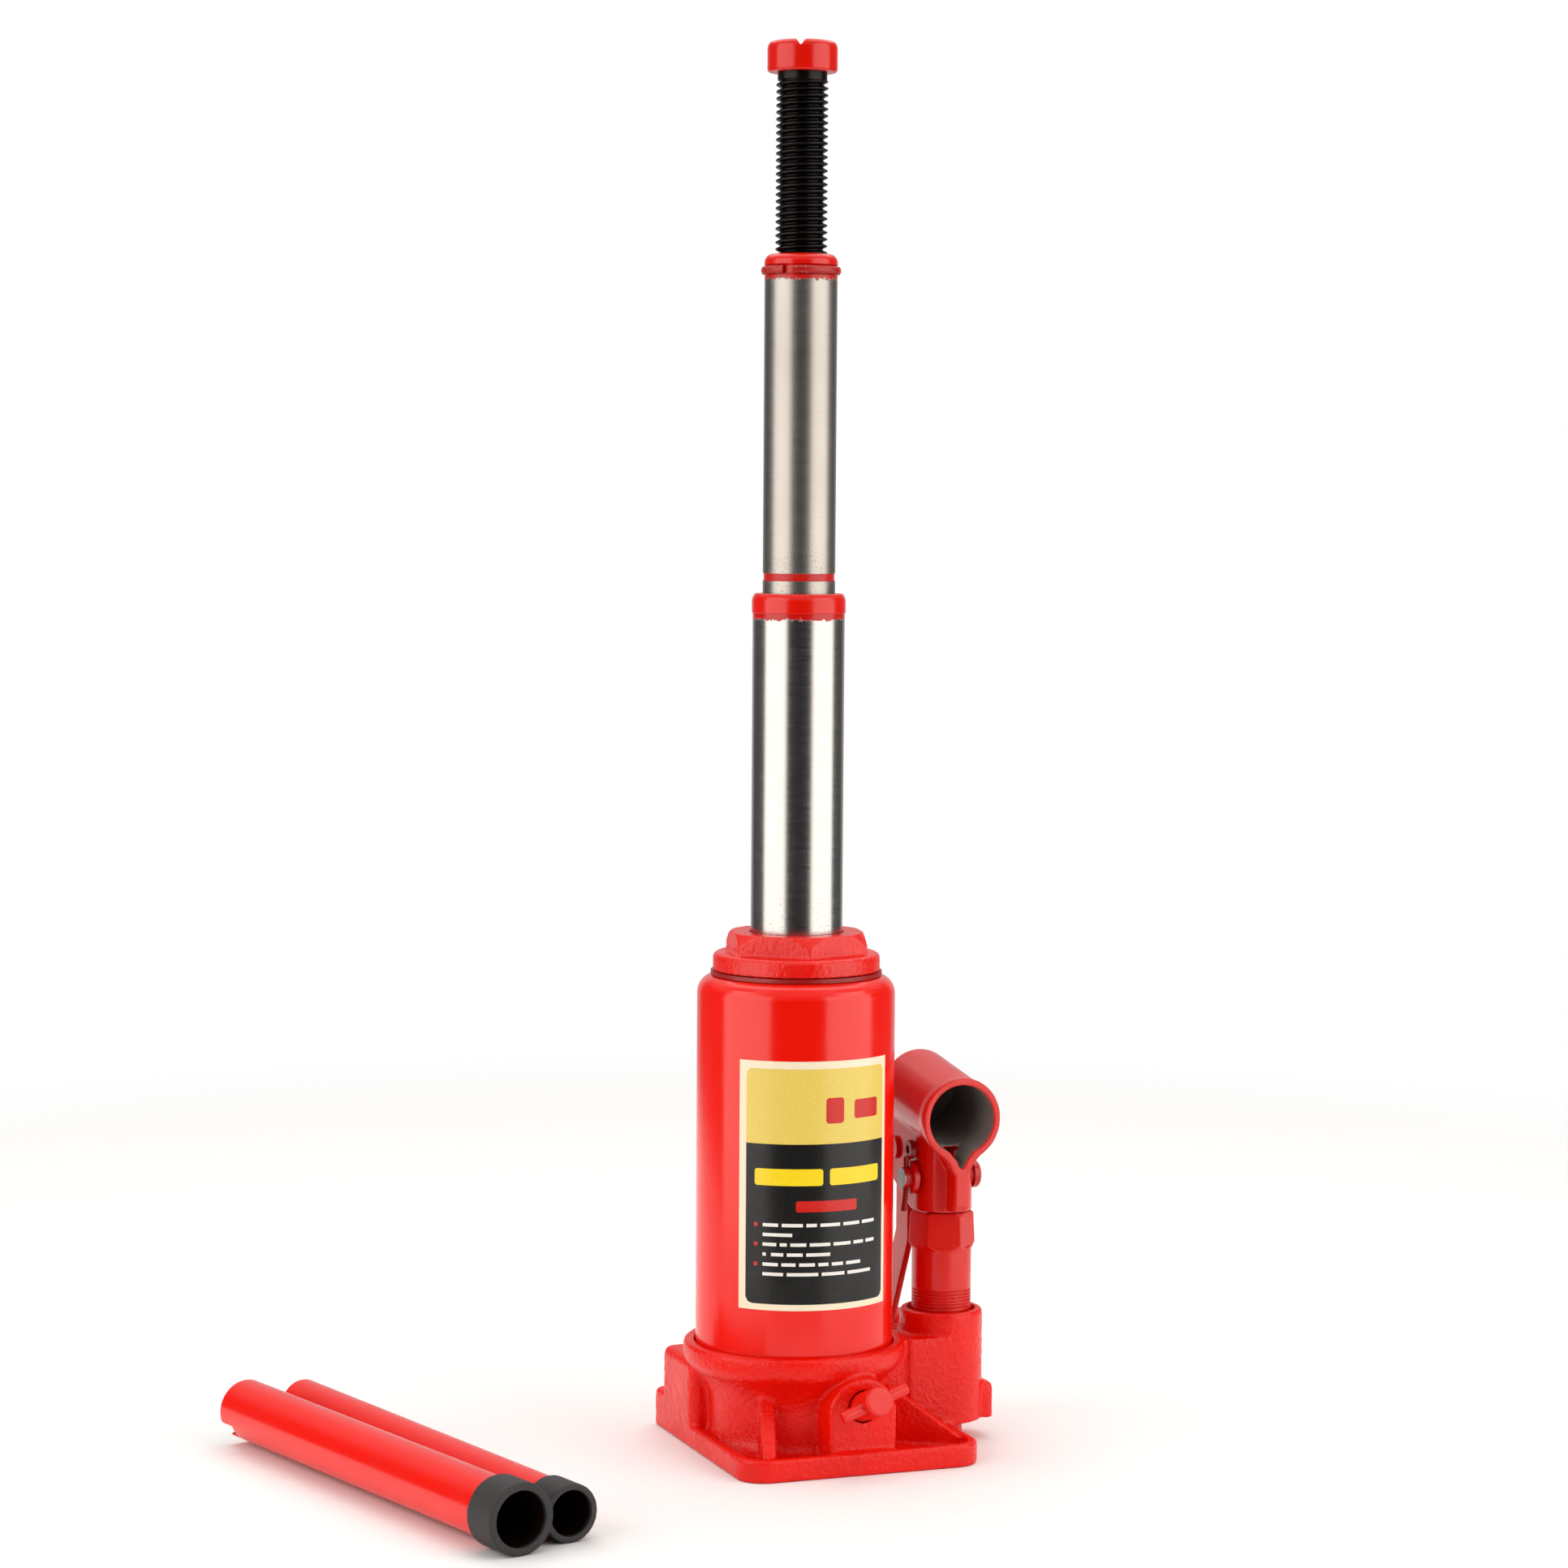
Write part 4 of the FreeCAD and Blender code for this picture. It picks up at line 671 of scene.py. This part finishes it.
def soft_box(name, bearing, distance, height, size, power):
    """Area light at a bearing from the camera's side, in degrees, aimed at the jack."""
    turn = math.radians(bearing)
    out = -HEADING * math.cos(turn) + right * math.sin(turn)
    lamp = bpy.data.lights.new(name, "AREA")
    lamp.shape = "RECTANGLE"
    lamp.size, lamp.size_y = size
    lamp.energy = power
    lamp.color = (1.0, 0.965, 0.915)
    light = bpy.data.objects.new(name, lamp)
    bpy.context.scene.collection.objects.link(light)
    place = out * distance + Vector((0, 0, height))
    target = Vector((0, 0, height if height < 1.2 else 0.2))
    light.matrix_world = (Matrix.Translation(place)
                          @ (target - place).to_track_quat("-Z", "Y").to_matrix().to_4x4())


soft_box("soft_box_left", -60, 1.3, 0.5, (1.56, 1.7), 18)
soft_box("soft_box_right", 66, 1.3, 0.5, (1.56, 1.7), 18)
soft_box("soft_box_top", 180, 0.5, 1.6, (1.8, 1.8), 16)

world = bpy.data.worlds.new("studio_room")
world.use_nodes = True
bpy.context.scene.world = world
room = world.node_tree
sky = room.nodes["Background"]
look = add(room, "ShaderNodeTexCoord").outputs["Generated"]
ahead = add(room, "ShaderNodeVectorMath", {0: look, 1: tuple(-HEADING)}, operation="DOT_PRODUCT")
front = add(room, "ShaderNodeMapRange", {"Value": ahead.outputs["Value"], 1: 0.55, 2: 0.8,
                                         3: 0.1, 4: 0.03}, interpolation_type="SMOOTHSTEP")
back = add(room, "ShaderNodeMapRange", {"Value": ahead.outputs["Value"], 1: -0.75, 2: -0.95,
                                        3: 0.0, 4: 0.45}, interpolation_type="SMOOTHSTEP")
split = add(room, "ShaderNodeSeparateXYZ", {0: look})
top = add(room, "ShaderNodeMapRange", {"Value": split.outputs["Z"], 1: 0.3, 2: 0.6,
                                       3: 0.0, 4: 0.5}, interpolation_type="SMOOTHSTEP")
walls = add(room, "ShaderNodeMath", {0: front.outputs[0], 1: back.outputs[0]}, operation="ADD")
total = add(room, "ShaderNodeMath", {0: walls.outputs[0], 1: top.outputs[0]}, operation="ADD")
seen = add(room, "ShaderNodeLightPath").outputs["Is Camera Ray"]
strength = add(room, "ShaderNodeMix", {0: seen, 2: total.outputs[0], 3: 1.0})
room.links.new(strength.outputs[0], sky.inputs["Strength"])
sky.inputs["Color"].default_value = (1.0, 1.0, 1.0, 1.0)
bpy.context.scene.view_settings.view_transform = "Standard"
